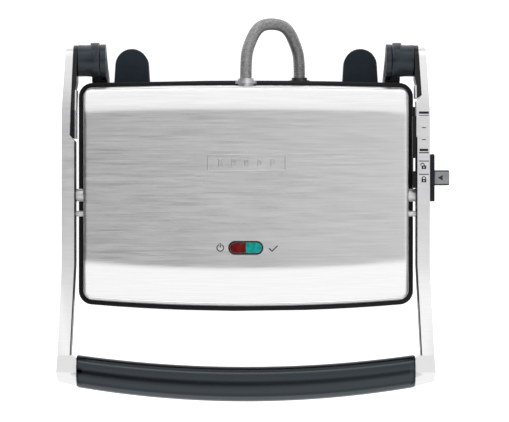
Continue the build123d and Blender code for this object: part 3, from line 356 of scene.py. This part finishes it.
def softbox(name, place, target, width, depth, power):
    """A glowing rectangle at a place, turned to a target. Its power is in watts."""
    light = bpy.data.lights.new(name, "AREA")
    light.shape, light.size, light.size_y, light.energy = "RECTANGLE", width, depth, power
    lamp = bpy.data.objects.new(name, light)
    lamp.location = place
    lamp.rotation_euler = (Vector(target) - Vector(place)).to_track_quat("-Z", "Y").to_euler()
    scene.collection.objects.link(lamp)


softbox("front_box", (0.0, -1.9, 1.3), (0, 0, 0.1), 2.4, 0.7, 1.0)
softbox("rear_box", (0.0, 1.7, 1.5), (0, 0, 0.1), 2.4, 0.5, 1.0)
softbox("right_box", (1.5, 0.1, 1.4), (0.1, 0, 0.1), 0.8, 1.6, 0.6)

# ---- lid cover ----
# One pressed sheet of stainless steel, brushed from side to side, that rolls over into its sloping bands and
# edges. A power sign and a tick are printed beside the indicator lights.
rim_box, cover_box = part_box("lid_rim"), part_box("lid_cover")
plan_half_width, plan_front_y, plan_rear_y = rim_box[1].x, -0.1000, 0.1053
front_bow, rear_bow = plan_front_y - rim_box[0].y, rim_box[1].y - plan_rear_y
plan_corner, cover_inset_low, cover_inset_high = 0.013, 0.0042, 0.0062
front_band, front_drop, rear_band, rear_drop, crease_soft = 0.033, 0.010, 0.020, 0.007, 0.0035
cover_low_z, cover_top_z = cover_box[0].z, cover_box[1].z
edge_round, edge_steps, ring_step, sheet, least_corner = 0.003, 8, 0.0013, 0.0012, 0.003
light_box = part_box("light_frame")
light_centre = (light_box[0] + light_box[1]) / 2
ink = (0.03, 0.03, 0.034)


def bowed(x, y):
    """Bends the straight front and rear edges of a plan into their bows."""
    lift = 1 - (x / plan_half_width) ** 2
    if y < 0:
        return x, y - front_bow * lift * y / plan_front_y
    return x, y + rear_bow * lift * y / plan_rear_y


def plan_ring(inset, along=72, down=48, turn=11):
    """Points round the lid's plan, counted the same for every inset."""
    front, rear = plan_front_y + inset, plan_rear_y - inset
    reach = Vector((plan_half_width - inset, (rear - front) / 2))
    corner = min(max(plan_corner - inset, least_corner), reach.y * 0.98)
    arcs, points = [], []
    for quarter, (way_x, way_y) in enumerate(((1, 1), (-1, 1), (-1, -1), (1, -1))):
        centre = Vector((way_x * (reach.x - corner), (front + rear) / 2 + way_y * (reach.y - corner)))
        angles = [math.pi / 2 * (quarter + step / (turn - 1)) for step in range(turn)]
        arcs.append([centre + corner * Vector((math.cos(angle), math.sin(angle))) for angle in angles])
    for arc, after, count in zip(arcs, arcs[1:] + arcs[:1], (along, down, along, down)):
        points += arc + [arc[-1].lerp(after[0], step / count) for step in range(1, count)]
    return [bowed(*point) for point in points]


def soft_positive(value):
    """Zero below zero and the value above it, with the corner rounded off."""
    if abs(value) < crease_soft:
        return (value + crease_soft) ** 2 / (4 * crease_soft)
    return max(value, 0.0)


def cover_height(x, y):
    """The height of the steel's top at a place on the plan."""
    lift = 1 - (x / plan_half_width) ** 2
    from_front = y - (plan_front_y + cover_inset_high - front_bow * lift)
    from_rear = plan_rear_y - cover_inset_high + rear_bow * lift - y
    fall = soft_positive(front_band - from_front) * front_drop / front_band
    return cover_top_z - fall - soft_positive(rear_band - from_rear) * rear_drop / rear_band


rings = [[(x, y, cover_low_z) for x, y in plan_ring(cover_inset_low)]]
for step in range(edge_steps + 1):
    angle = math.pi / 2 * step / edge_steps
    ring_inset = cover_inset_high + edge_round * (1 - math.cos(angle))
    sink = edge_round * (1 - math.sin(angle))
    rings.append([(x, y, cover_height(x, y) - sink) for x, y in plan_ring(ring_inset)])
half_depth = (plan_rear_y - plan_front_y) / 2
ring_inset += ring_step
while ring_inset < half_depth - ring_step:
    rings.append([(x, y, cover_height(x, y)) for x, y in plan_ring(ring_inset)])
    ring_inset += ring_step
cover_shape = bmesh.new()
rows = [[cover_shape.verts.new(point) for point in ring] for ring in rings]
for first, second in zip(rows, rows[1:]):
    for index in range(len(first)):
        after = (index + 1) % len(first)
        cover_shape.faces.new((first[index], first[after], second[after], second[index]))
cover_shape.faces.new(rows[-1])
bmesh.ops.recalc_face_normals(cover_shape, faces=cover_shape.faces)
if cover_shape.faces[-1].normal.z < 0:
    bmesh.ops.reverse_faces(cover_shape, faces=cover_shape.faces)
bmesh.ops.solidify(cover_shape, geom=cover_shape.faces, thickness=sheet)


line_depth, line_strength = 0.00012, 0.5


def brushed(name, tone=0.62, rough=0.30, lines_x=28.0, lines=1150.0, depth=0.05):
    """Stainless steel with fine lines that run along X, lighter and darker by the depth."""
    finish = Finish(name, Metallic=1.0)
    fine = finish.grain(1.0, 3.0, finish.stretched(lines_x, lines, lines))
    broad = finish.grain(1.0, 2.0, finish.stretched(lines_x * 0.5, lines * 0.35, lines * 0.35))
    finish.lines = fine * 0.7 + broad * 0.3
    dark, light = tone * (1 - depth), tone * (1 + depth)
    cool = 1.005  # how much more blue than red the steel sends back
    finish.tint = finish.lines.ramp(0.3, 0.7).colour((dark, dark, dark * cool), (light, light, light * cool))
    finish.feed(Base_Color=finish.tint, Roughness=finish.lines.ramp(0.3, 0.7, rough * 0.9, rough * 1.15))
    finish.relief(finish.lines, line_depth, line_strength)
    return finish


print_corner, print_edge = 0.0001, 0.00008


def rounded_box(x, y, half_x, half_y, corner):
    """How far a point lies outside a rectangle with round corners."""
    out_x, out_y = x.size() - (half_x - corner), y.size() - (half_y - corner)
    return out_x.high(0.0).length_with(out_y.high(0.0)) + out_x.high(out_y).low(0.0) - corner


def bar(x, y, half_x, half_y):
    """One inside a rectangle, none outside it."""
    return rounded_box(x, y, half_x, half_y, print_corner).ramp(-print_edge, print_edge, 1.0, 0.0)


def ring_mark(x, y, radius, half_width):
    """One on a circle's line, none off it."""
    off_line = (x.length_with(y) - radius).size()
    return off_line.ramp(half_width - print_edge, half_width + print_edge, 1.0, 0.0)


steel = brushed("brushed_cover", 0.73, 0.32)
power_off, power_radius, power_line, stem_up, stem_half = 0.0235, 0.0030, 0.00048, 0.0024, 0.0021
gap_half_x, gap_half_y = 0.0012, 0.0016
tick_off, tick_line, long_half, short_half, diagonal = 0.0250, 0.00050, 0.0038, 0.0020, 0.7071
on_x, on_y = steel.x - (light_centre.x - power_off), steel.y - light_centre.y
power = ring_mark(on_x, on_y, power_radius, power_line)
power = power * (1.0 - bar(on_x, on_y - power_radius, gap_half_x, gap_half_y))
power = power.high(bar(on_x, on_y - stem_up, 0.00045, stem_half))
ready_x, ready_y = steel.x - (light_centre.x + tick_off), steel.y - light_centre.y
slant, counter = (ready_x + ready_y) * diagonal, (ready_y - ready_x) * diagonal
tick = bar(slant - 0.0006, counter + 0.0016, long_half, tick_line)
tick = tick.high(bar(slant + 0.0028, counter - 0.0002, tick_line, short_half))
steel.feed(Base_Color=power.high(tick).colour(steel.tint, ink))
cover = add_piece("cover_pressing", cover_shape, steel, "lid", 50)
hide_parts("lid_cover")

# ---- badge ----
# A plain relief on the lid's top: a rounded frame round five short upright bars.
badge_x, badge_y, badge_half_x, badge_half_y, badge_corner = 0.0005, 0.0306, 0.0362, 0.0078, 0.0022
frame_wide, frame_rise, frame_shoulder, badge_turn, badge_sink = 0.0010, 0.0004, 0.3, 6, 0.0002
bar_count, bar_pitch, bar_wide, bar_high, bar_rise = 5, 0.0120, 0.0036, 0.0070, 0.0004
bar_top_share, bar_end_hold = 0.72, 0.6  # how much narrower a bar is at its top, and how little shorter


def tube_mesh(rings, ring_closed=False):
    """A skin over rings of points, each ring with the same number of points."""
    shape = bmesh.new()
    rows = [[shape.verts.new(point) for point in ring] for ring in rings]
    pairs = list(zip(rows, rows[1:])) + ([(rows[-1], rows[0])] if ring_closed else [])
    for first, second in pairs:
        for index in range(len(first)):
            after = (index + 1) % len(first)
            shape.faces.new((first[index], first[after], second[after], second[index]))
    if not ring_closed:
        shape.faces.new(reversed(rows[0]))
        shape.faces.new(rows[-1])
    bmesh.ops.recalc_face_normals(shape, faces=shape.faces)
    return shape


def badge_ring(inset, height):
    """A rounded rectangle of points over the lid's top."""
    ring, corner = [], badge_corner - inset
    for quarter, (way_x, way_y) in enumerate(((1, 1), (-1, 1), (-1, -1), (1, -1))):
        for step in range(badge_turn):
            angle = math.pi / 2 * (quarter + step / (badge_turn - 1))
            ring.append((
                badge_x + way_x * (badge_half_x - inset - corner) + corner * math.cos(angle),
                badge_y + way_y * (badge_half_y - inset - corner) + corner * math.sin(angle),
                cover_top_z + height,
            ))
    return ring


badge_metal = brushed("badge_steel", 0.73, 0.30)
badge_rings = [
    badge_ring(0.0, -badge_sink),
    badge_ring(frame_wide * frame_shoulder, frame_rise),
    badge_ring(frame_wide * (1 - frame_shoulder), frame_rise),
    badge_ring(frame_wide, -badge_sink),
]
add_piece("badge_frame", tube_mesh(badge_rings, ring_closed=True), badge_metal, "lid")
bars = bmesh.new()
for number in range(bar_count):
    middle = badge_x + (number - (bar_count - 1) / 2) * bar_pitch
    corners = []
    for share, height in ((1.0, -badge_sink), (bar_top_share, bar_rise)):
        for way_x, way_y in ((-1, -1), (1, -1), (1, 1), (-1, 1)):
            across, up = way_x * bar_wide / 2 * share, way_y * bar_high / 2
            up = up * (bar_end_hold + (1 - bar_end_hold) * share)
            corners.append(bars.verts.new((middle + across, badge_y + up, cover_top_z + height)))
    bars.faces.new(reversed(corners[:4]))
    bars.faces.new(corners[4:])
    for index in range(4):
        after = (index + 1) % 4
        bars.faces.new((corners[index], corners[after], corners[4 + after], corners[4 + index]))
add_piece("badge_bars", bars, badge_metal, "lid", 20)

# ---- black mouldings ----
# The lid's rim, the base's rim, shell and cover, the cord's gland, the height rail and ledge, and the arms'
# liners are one black plastic, finely grained.


def wear(node, finish):
    """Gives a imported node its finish."""
    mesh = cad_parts[node].data
    mesh.materials.clear()
    mesh.materials.append(finish.material)


weld_gap, flat_degrees, wide_segments, rounded_smooth_degrees = 2e-6, 1.5, 8, 40


def soften(
    node, name, finish, body, width, segments=3, sharp_degrees=28, wide=None, wide_edges=None
):
    """Stands a copy of a node, with its hard edges rounded over, in the node's place."""
    shape = bmesh.new()
    shape.from_mesh(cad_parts[node].data)
    bmesh.ops.remove_doubles(shape, verts=shape.verts, dist=weld_gap)
    bmesh.ops.dissolve_limit(
        shape, angle_limit=math.radians(flat_degrees), use_dissolve_boundaries=False,
        verts=shape.verts, edges=shape.edges,
    )
    limit = math.radians(sharp_degrees)
    hard = [e for e in shape.edges if len(e.link_faces) == 2 and e.calc_face_angle(0.0) > limit]
    broad = [e for e in hard if wide_edges and wide_edges(e)]
    narrow = [e for e in hard if e not in broad]
    for edges, offset, steps in ((broad, wide, wide_segments), (narrow, width, segments)):
        edges = [e for e in edges if e.is_valid]
        if edges:
            bmesh.ops.bevel(
                shape, geom=edges, offset=offset, offset_type="OFFSET", segments=steps, profile=0.5,
                affect="EDGES", clamp_overlap=True, material=-1, loop_slide=True,
            )
    piece = add_piece(name, shape, finish, body, rounded_smooth_degrees)
    piece.modifiers.new("flat_faces", "WEIGHTED_NORMAL").keep_sharp = True
    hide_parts(node)
    return piece


black = Finish("black_moulding", Specular_IOR_Level=0.3)
black.mottle(35.0, (0.0025, 0.0028, 0.0036), (0.0045, 0.0050, 0.0062), 700.0, 0.26, 0.36)
black.relief(black.grain(2600.0, 3.0), 0.00003, 0.4)
soften("lid_rim", "lid_rim_moulding", black, "lid", 0.0004)
soften("base_rim", "base_rim_moulding", black, "base", 0.0008)
soften("base_shell", "base_shell_moulding", black, "base", 0.0008)
for node in (
    "bottom_cover", "cord_gland", "height_ledge", "height_rail", "arm_liner_left", "arm_liner_right",
):
    wear(node, black)

# ---- rear feet ----
# Rubbery blue-black tongues that the grill stands on when it is stored, and that the mains cord winds round.
tongue = Finish("rear_foot_black", Specular_IOR_Level=0.25, Specular_Tint=(0.8, 0.92, 1.0, 1.0))
tongue.mottle(40.0, (0.015, 0.023, 0.031), (0.022, 0.031, 0.041), 500.0, 0.55, 0.7)
tongue.relief(tongue.grain(1800.0, 3.0), 0.00005, 0.5)
for side in ("left", "right"):
    soften("storage_foot_" + side, "rear_foot_" + side, tongue, "base", 0.0008, 2)

# ---- arms ----
# Cast arms, brushed across, whose tops roll over towards the outside. A near-black line painted down each
# inner edge stands in for the shade of the arm's hollow inner wall.
# The right one has the height scale printed on its level part, as lines, bars and two padlocks. The elbows
# between the arms and the grip are plain castings.
arm_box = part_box("arm_right")
arm_inner_x, arm_kink_y, arm_splay = 0.1572, -0.0635, 0.0057 / 0.0845
shade_line_width, shade_line_edge, shade_line_rear_y = 0.0009, 0.0001, 0.054
scale_x, top_skin, outside_x, outer_round, least_run = 0.1640, 0.0022, 0.1655, 0.0045, 0.0005
case_down, case_half_x, case_half_y, hole_half_x, hole_half_y = 0.0014, 0.0021, 0.0016, 0.0005, 0.0007
hoop_up, hoop_radius, hoop_line = 0.0006, 0.0016, 0.00042


def arm_finish(name, marks_of=None):
    """Brushed metal with a painted shade line down its inner edge, and whatever marks are printed on its top.
    """
    finish = brushed(name, 0.74, 0.36, 45.0, 900.0, 0.03)
    # Painted shade: a near-black line along the inner edge, where the arm's hollow inner wall lies in shadow.
    inner = arm_inner_x + (arm_kink_y - finish.y).high(0.0) * arm_splay
    painted_shade_line = (finish.x.size() - inner).ramp(shade_line_width - shade_line_edge, shade_line_width + shade_line_edge, 1.0, 0.0)
    painted_shade_line = painted_shade_line * finish.y.ramp(shade_line_rear_y, shade_line_rear_y + 0.001, 1.0, 0.0)
    colour = painted_shade_line.colour(finish.tint, (0.008, 0.009, 0.011))
    if marks_of:
        on_top = finish.z.ramp(arm_box[1].z - top_skin, arm_box[1].z - top_skin + 0.0004)
        colour = (marks_of(finish) * on_top).colour(colour, ink)
    finish.feed(Base_Color=colour)
    return finish


def scale_marks(finish):
    """The height scale: lines, two bars, an open padlock and a closed one."""
    mark_x, marks = finish.x - scale_x, None
    for place, half_length, half_thick in (
        (0.0768, 0.0046, 0.0011), (0.0742, 0.0046, 0.0003), (0.0630, 0.0018, 0.0004),
        (0.0520, 0.0018, 0.0004), (0.0424, 0.0040, 0.0011), (0.0399, 0.0046, 0.0005),
        (0.0322, 0.0046, 0.0004), (0.0200, 0.0046, 0.0004),
    ):
        line = bar(mark_x, finish.y - place, half_length, half_thick)
        marks = line if marks is None else marks.high(line)
    for place, swing in ((0.0279, 0.0013), (0.0156, 0.0)):
        case = bar(mark_x, finish.y - place + case_down, case_half_x, case_half_y)
        keyhole = bar(mark_x, finish.y - place + case_down, hole_half_x, hole_half_y)
        hoop = ring_mark(mark_x + swing, finish.y - place - hoop_up, hoop_radius, hoop_line)
        hoop = hoop * (finish.y - place - 0.0001).ramp(-0.0001, 0.0001)
        marks = marks.high((case - keyhole).high(hoop))
    return marks


def outer_top(edge):
    """True for the long edges along the outside of an arm's top."""
    outside = all(abs(v.co.x) > outside_x for v in edge.verts)
    long_way = abs(edge.verts[0].co.y - edge.verts[1].co.y) > least_run
    return outside and long_way and any(face.normal.z > 0.3 for face in edge.link_faces)


soften(
    "arm_left", "arm_left_casting", arm_finish("arm_brushed"), "handle_frame", 0.0010, 3,
    wide=outer_round, wide_edges=outer_top,
)
soften(
    "arm_right", "arm_right_casting", arm_finish("arm_brushed_with_scale", scale_marks), "handle_frame",
    0.0010, 3, wide=outer_round, wide_edges=outer_top,
)
plain_cast = brushed("elbow_satin", 0.60, 0.32, 60.0, 700.0, 0.02)
for side in ("left", "right"):
    soften("handle_elbow_" + side, "elbow_" + side, plain_cast, "handle_frame", 0.0014, 4, 15)
    wear("arm_strip_" + side, plain_cast)

# ---- grip ----
# A black satin moulding, oval in section and bowed to follow the lid's front, over a steel bar.
grip_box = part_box("handle_grip")
grip_end_x, grip_front_end_y, grip_rear_end_y = grip_box[1].x, -0.1782, -0.1478
grip_front_y, grip_rear_y, grip_end_round = grip_box[0].y, -0.1590, 0.0012
grip_middle_z, grip_half_height = (grip_box[0].z + grip_box[1].z) / 2, (grip_box[1].z - grip_box[0].z) / 2
oval_power, oval_points, grip_steps = 2.2, 48, 72


def grip_ring(x, share):
    """The oval section at x, drawn in by a share."""
    along = (x / grip_end_x) ** 2
    front = grip_front_y + (grip_front_end_y - grip_front_y) * along
    rear = grip_rear_y + (grip_rear_end_y - grip_rear_y) * along
    ring = []
    for step in range(oval_points):
        angle = 2 * math.pi * step / oval_points
        across, up = math.cos(angle), math.sin(angle)
        out_y = math.copysign(abs(across) ** (2 / oval_power), across) * share
        out_z = math.copysign(abs(up) ** (2 / oval_power), up) * share
        y = (front + rear) / 2 + (rear - front) / 2 * out_y
        ring.append((x, y, grip_middle_z + grip_half_height * out_z))
    return ring


end_share = 0.93  # the end faces, as a share of the section
grip_rings = [grip_ring(-grip_end_x, end_share)]
for step in range(grip_steps + 1):
    grip_rings.append(grip_ring((grip_end_x - grip_end_round) * (2 * step / grip_steps - 1), 1.0))
grip_rings.append(grip_ring(grip_end_x, end_share))
rubber = Finish("grip_satin", Specular_IOR_Level=0.60, Specular_Tint=(0.78, 0.92, 1.0, 1.0))
rubber.mottle(30.0, (0.0008, 0.0016, 0.0032), (0.0012, 0.0022, 0.0044), 600.0, 0.18, 0.24)
rubber.relief(rubber.grain(3000.0, 3.0), 0.00001, 0.2)
grip = add_piece("grip_moulding", tube_mesh(grip_rings), rubber, "handle_frame", 40)
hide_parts("handle_grip")

# ---- hinge barrels and brackets ----
# Waisted plastic barrels turn on steel pins, each with a wedge-shaped rib over its rear. The brackets beside
# them stand on the base.
barrel_profile = (  # distance from the inner end, radius
    (0.0000, 0.00515), (0.0000, 0.0142), (0.0003, 0.0149), (0.0010, 0.0153), (0.0060, 0.0153),
    (0.0085, 0.0149), (0.0130, 0.0146), (0.0175, 0.0147), (0.0200, 0.0149), (0.0206, 0.0145),
    (0.0209, 0.0138), (0.0209, 0.00515),
)
hinge_y, hinge_z, barrel_turns, rib_steps = 0.1260, 0.0780, 72, 16
rib_offset, rib_wide, rib_narrow, rib_rise = 0.0053, 0.0046, 0.0016, 0.0019
rib_root, rib_low, rib_shoulder, rib_chamfer = 0.0140, 0.0151, 0.0004, 0.0005
rib_from_degrees, rib_sweep_degrees = -20, 112  # counted from straight behind the pin, upwards
barrel_black = Finish("barrel_black", Specular_IOR_Level=0.5, Specular_Tint=(0.78, 0.9, 1.0, 1.0))
barrel_black.mottle(60.0, (0.006, 0.009, 0.013), (0.011, 0.015, 0.020), 500.0, 0.30, 0.42)
barrel_black.relief(barrel_black.grain(420.0, 3.0), 0.00025, 0.35)
for side, way in (("left", -1), ("right", 1)):
    inner_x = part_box("hinge_barrel_" + side)[0 if way > 0 else 1].x
    barrel_rings = []
    for step in range(barrel_turns):
        angle = 2 * math.pi * step / barrel_turns
        behind, up = math.cos(angle), math.sin(angle)
        barrel_rings.append([
            (inner_x + way * out, hinge_y + radius * behind, hinge_z + radius * up)
            for out, radius in barrel_profile
        ])
    barrel = add_piece(
        "barrel_" + side, tube_mesh(barrel_rings, ring_closed=True), barrel_black,
        "handle_frame",
    )
    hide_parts("hinge_barrel_" + side)
    rib_rings = []
    for step in range(rib_steps + 1):
        share = step / rib_steps
        angle = math.radians(rib_from_degrees + rib_sweep_degrees * share)
        half, top = rib_wide + (rib_narrow - rib_wide) * share, rib_low + rib_rise * (1 - share**2)
        behind, up = math.cos(angle), math.sin(angle)
        rib_rings.append([
            (inner_x + way * (rib_offset + out), hinge_y + radius * behind, hinge_z + radius * up)
            for out, radius in (
                (-half, rib_root), (-half, top - rib_shoulder), (rib_chamfer - half, top),
                (half - rib_chamfer, top), (half, top - rib_shoulder), (half, rib_root),
            )
        ])
    add_piece("barrel_rib_" + side, tube_mesh(rib_rings), barrel_black, "handle_frame")
    soften("hinge_bracket_" + side, "bracket_" + side, barrel_black, "base", 0.0015, 3)

# ---- height slider ----
# A black plate rides outside the right arm. Its grey knob has dark sides, and a dark arrow that points at the
# scale.
slider_black = Finish("slider_black", Specular_IOR_Level=0.2, Specular_Tint=(0.8, 0.92, 1.0, 1.0))
slider_black.mottle(60.0, (0.008, 0.011, 0.015), (0.013, 0.017, 0.021), 800.0, 0.4, 0.52)
knob_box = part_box("slider_knob")
knob_middle = (knob_box[0] + knob_box[1]) / 2
arrow_tip, arrow_length, arrow_slope, arrow_skin, side_band = 0.0042, 0.0047, 1.9, 0.001, 0.0055
knob_grey = Finish("knob_grey", Specular_IOR_Level=0.4)
arrow_x, arrow_y = knob_grey.x - (knob_middle.x - arrow_tip), (knob_grey.y - knob_middle.y).size()
arrow = (arrow_y * arrow_slope - arrow_x).ramp(-0.0001, 0.0001, 1.0, 0.0)
arrow = arrow * arrow_x.ramp(arrow_length, arrow_length + 0.0002, 1.0, 0.0)
on_knob_top = knob_grey.z.ramp(knob_box[1].z - arrow_skin, knob_box[1].z - arrow_skin + 0.0002)
dark = (arrow * on_knob_top).high(arrow_y.ramp(side_band, side_band + 0.0003))
knob_tint = knob_grey.grain(200.0).ramp(0.3, 0.7).colour((0.25, 0.26, 0.27), (0.30, 0.31, 0.32))
knob_grey.feed(
    Base_Color=dark.colour(knob_tint, (0.015, 0.017, 0.02)),
    Roughness=knob_grey.grain(900.0).ramp(0.2, 0.8, 0.42, 0.5),
)
soften("slider_plate", "slider_cheek", slider_black, "height_slider", 0.0008)
soften("slider_knob", "slider_thumb_piece", knob_grey, "height_slider", 0.0006)
wear("slider_carriage", slider_black)

# ---- indicator lights ----
# Two tinted lenses, red for power and green for ready, share a glossy black pill.
gloss_black = Finish("light_surround", Coat_Weight=0.3)
gloss_black.mottle(80.0, (0.01, 0.01, 0.01), (0.02, 0.02, 0.02), 500.0, 0.16, 0.24)
wear("light_frame", gloss_black)
for node, deep, bright in (
    ("red_lens", (0.085, 0.002, 0.003), (0.19, 0.004, 0.005)),
    ("green_lens", (0.0, 0.24, 0.21), (0.004, 0.38, 0.34)),
):
    tint = Finish(node + "_tint", Specular_IOR_Level=0.3, Coat_Weight=0.2, Coat_Roughness=0.08)
    mottle = tint.grain(260.0, 2.0)
    tint.feed(
        Base_Color=mottle.ramp(0.35, 0.65).colour(deep, bright),
        Roughness=tint.grain(700.0).ramp(0.2, 0.8, 0.12, 0.22),
    )
    wear(node, tint)
lamp_white = Finish("lamp_board")
lamp_white.mottle(150.0, (0.75, 0.73, 0.66), (0.85, 0.83, 0.77), 500.0, 0.4, 0.6)
wear("pilot_lamps", lamp_white)

# ---- pins, screws, collars and plain steel ----
# The hinge pins are bright. The pivot pins, the stop pins and the lid's conduit nut are satin. Brackets,
# screws and shields are zinc plated, and the base's conduit nut is dark.
bright = Finish("turned_chrome", Metallic=1.0)
bright.feed(
    Base_Color=bright.grain(90.0).ramp(0.3, 0.7).colour((0.70, 0.70, 0.71), (0.82, 0.82, 0.83)),
    Roughness=bright.grain(1.0, 2.0, bright.stretched(2500, 60, 60)).ramp(0.3, 0.7, 0.14, 0.26),
)
zinc = Finish("zinc_plate", Metallic=1.0)
zinc.mottle(120.0, (0.42, 0.43, 0.45), (0.58, 0.59, 0.60), 240.0, 0.3, 0.5, (4.0, 3.0))
satin_pin = Finish("satin_pin", Metallic=0.85)
satin_pin.feed(
    Base_Color=satin_pin.grain(90.0).ramp(0.3, 0.7).colour((0.66, 0.66, 0.67), (0.76, 0.76, 0.77)),
    Roughness=satin_pin.grain(1.0, 2.0, satin_pin.stretched(2500, 60, 60)).ramp(0.3, 0.7, 0.38, 0.48),
)
wear("conduit_collar_lid", satin_pin)
for side in ("left", "right"):
    wear("hinge_pin_" + side, bright)
    wear("pivot_pin_" + side, satin_pin)
    wear("tilt_stop_pin_" + side, satin_pin)
for node in (
    "upper_heat_shield", "lower_heat_shield", "bottom_screws", "bracket_screws", "lid_screws", "elbow_screws",
    "detent_spring", "lock_striker", "handle_core", "thermostat", "pivot_bracket_left", "pivot_bracket_right",
):
    wear(node, zinc)
nut_grey = Finish("dark_nut", Metallic=0.8)
nut_grey.mottle(120.0, (0.07, 0.07, 0.07), (0.12, 0.12, 0.12), 400.0, 0.35, 0.5)
wear("conduit_collar_base", nut_grey)

# ---- cooking plates ----
# Cast aluminium with a black non-stick coat, over tubular elements.
coat = Finish("non_stick", Specular_IOR_Level=0.5)
coat.mottle(50.0, (0.018, 0.018, 0.018), (0.032, 0.032, 0.031), 350.0, 0.34, 0.5, (4.0, 3.0))
coat.relief(coat.grain(1500.0, 3.0), 0.00004, 0.5)
soften("upper_plate", "upper_plate_casting", coat, "lid", 0.0007, 2)
soften("lower_plate", "lower_plate_casting", coat, "base", 0.0007, 2)
sheath = Finish("element_sheath", Metallic=1.0)
sheath.mottle(70.0, (0.20, 0.17, 0.15), (0.36, 0.34, 0.32), 500.0, 0.4, 0.6, (3.0, 2.0))
for node in ("upper_element", "lower_element"):
    wear(node, sheath)

# ---- base skirt, feet and terminal block ----
# The skirt is the lid's steel. The feet are soft black rubber, and the block inside is glazed ceramic.
wear("base_skirt", brushed("brushed_skirt"))
foot = Finish("foot_rubber", Specular_IOR_Level=0.25)
foot.mottle(90.0, (0.02, 0.02, 0.02), (0.04, 0.04, 0.04), 600.0, 0.75, 0.9)
wear("rubber_feet", foot)
glaze = Finish("terminal_glaze", Coat_Weight=0.3)
glaze.mottle(90.0, (0.72, 0.71, 0.67), (0.84, 0.83, 0.80), 300.0, 0.15, 0.3)
wear("terminal_block", glaze)
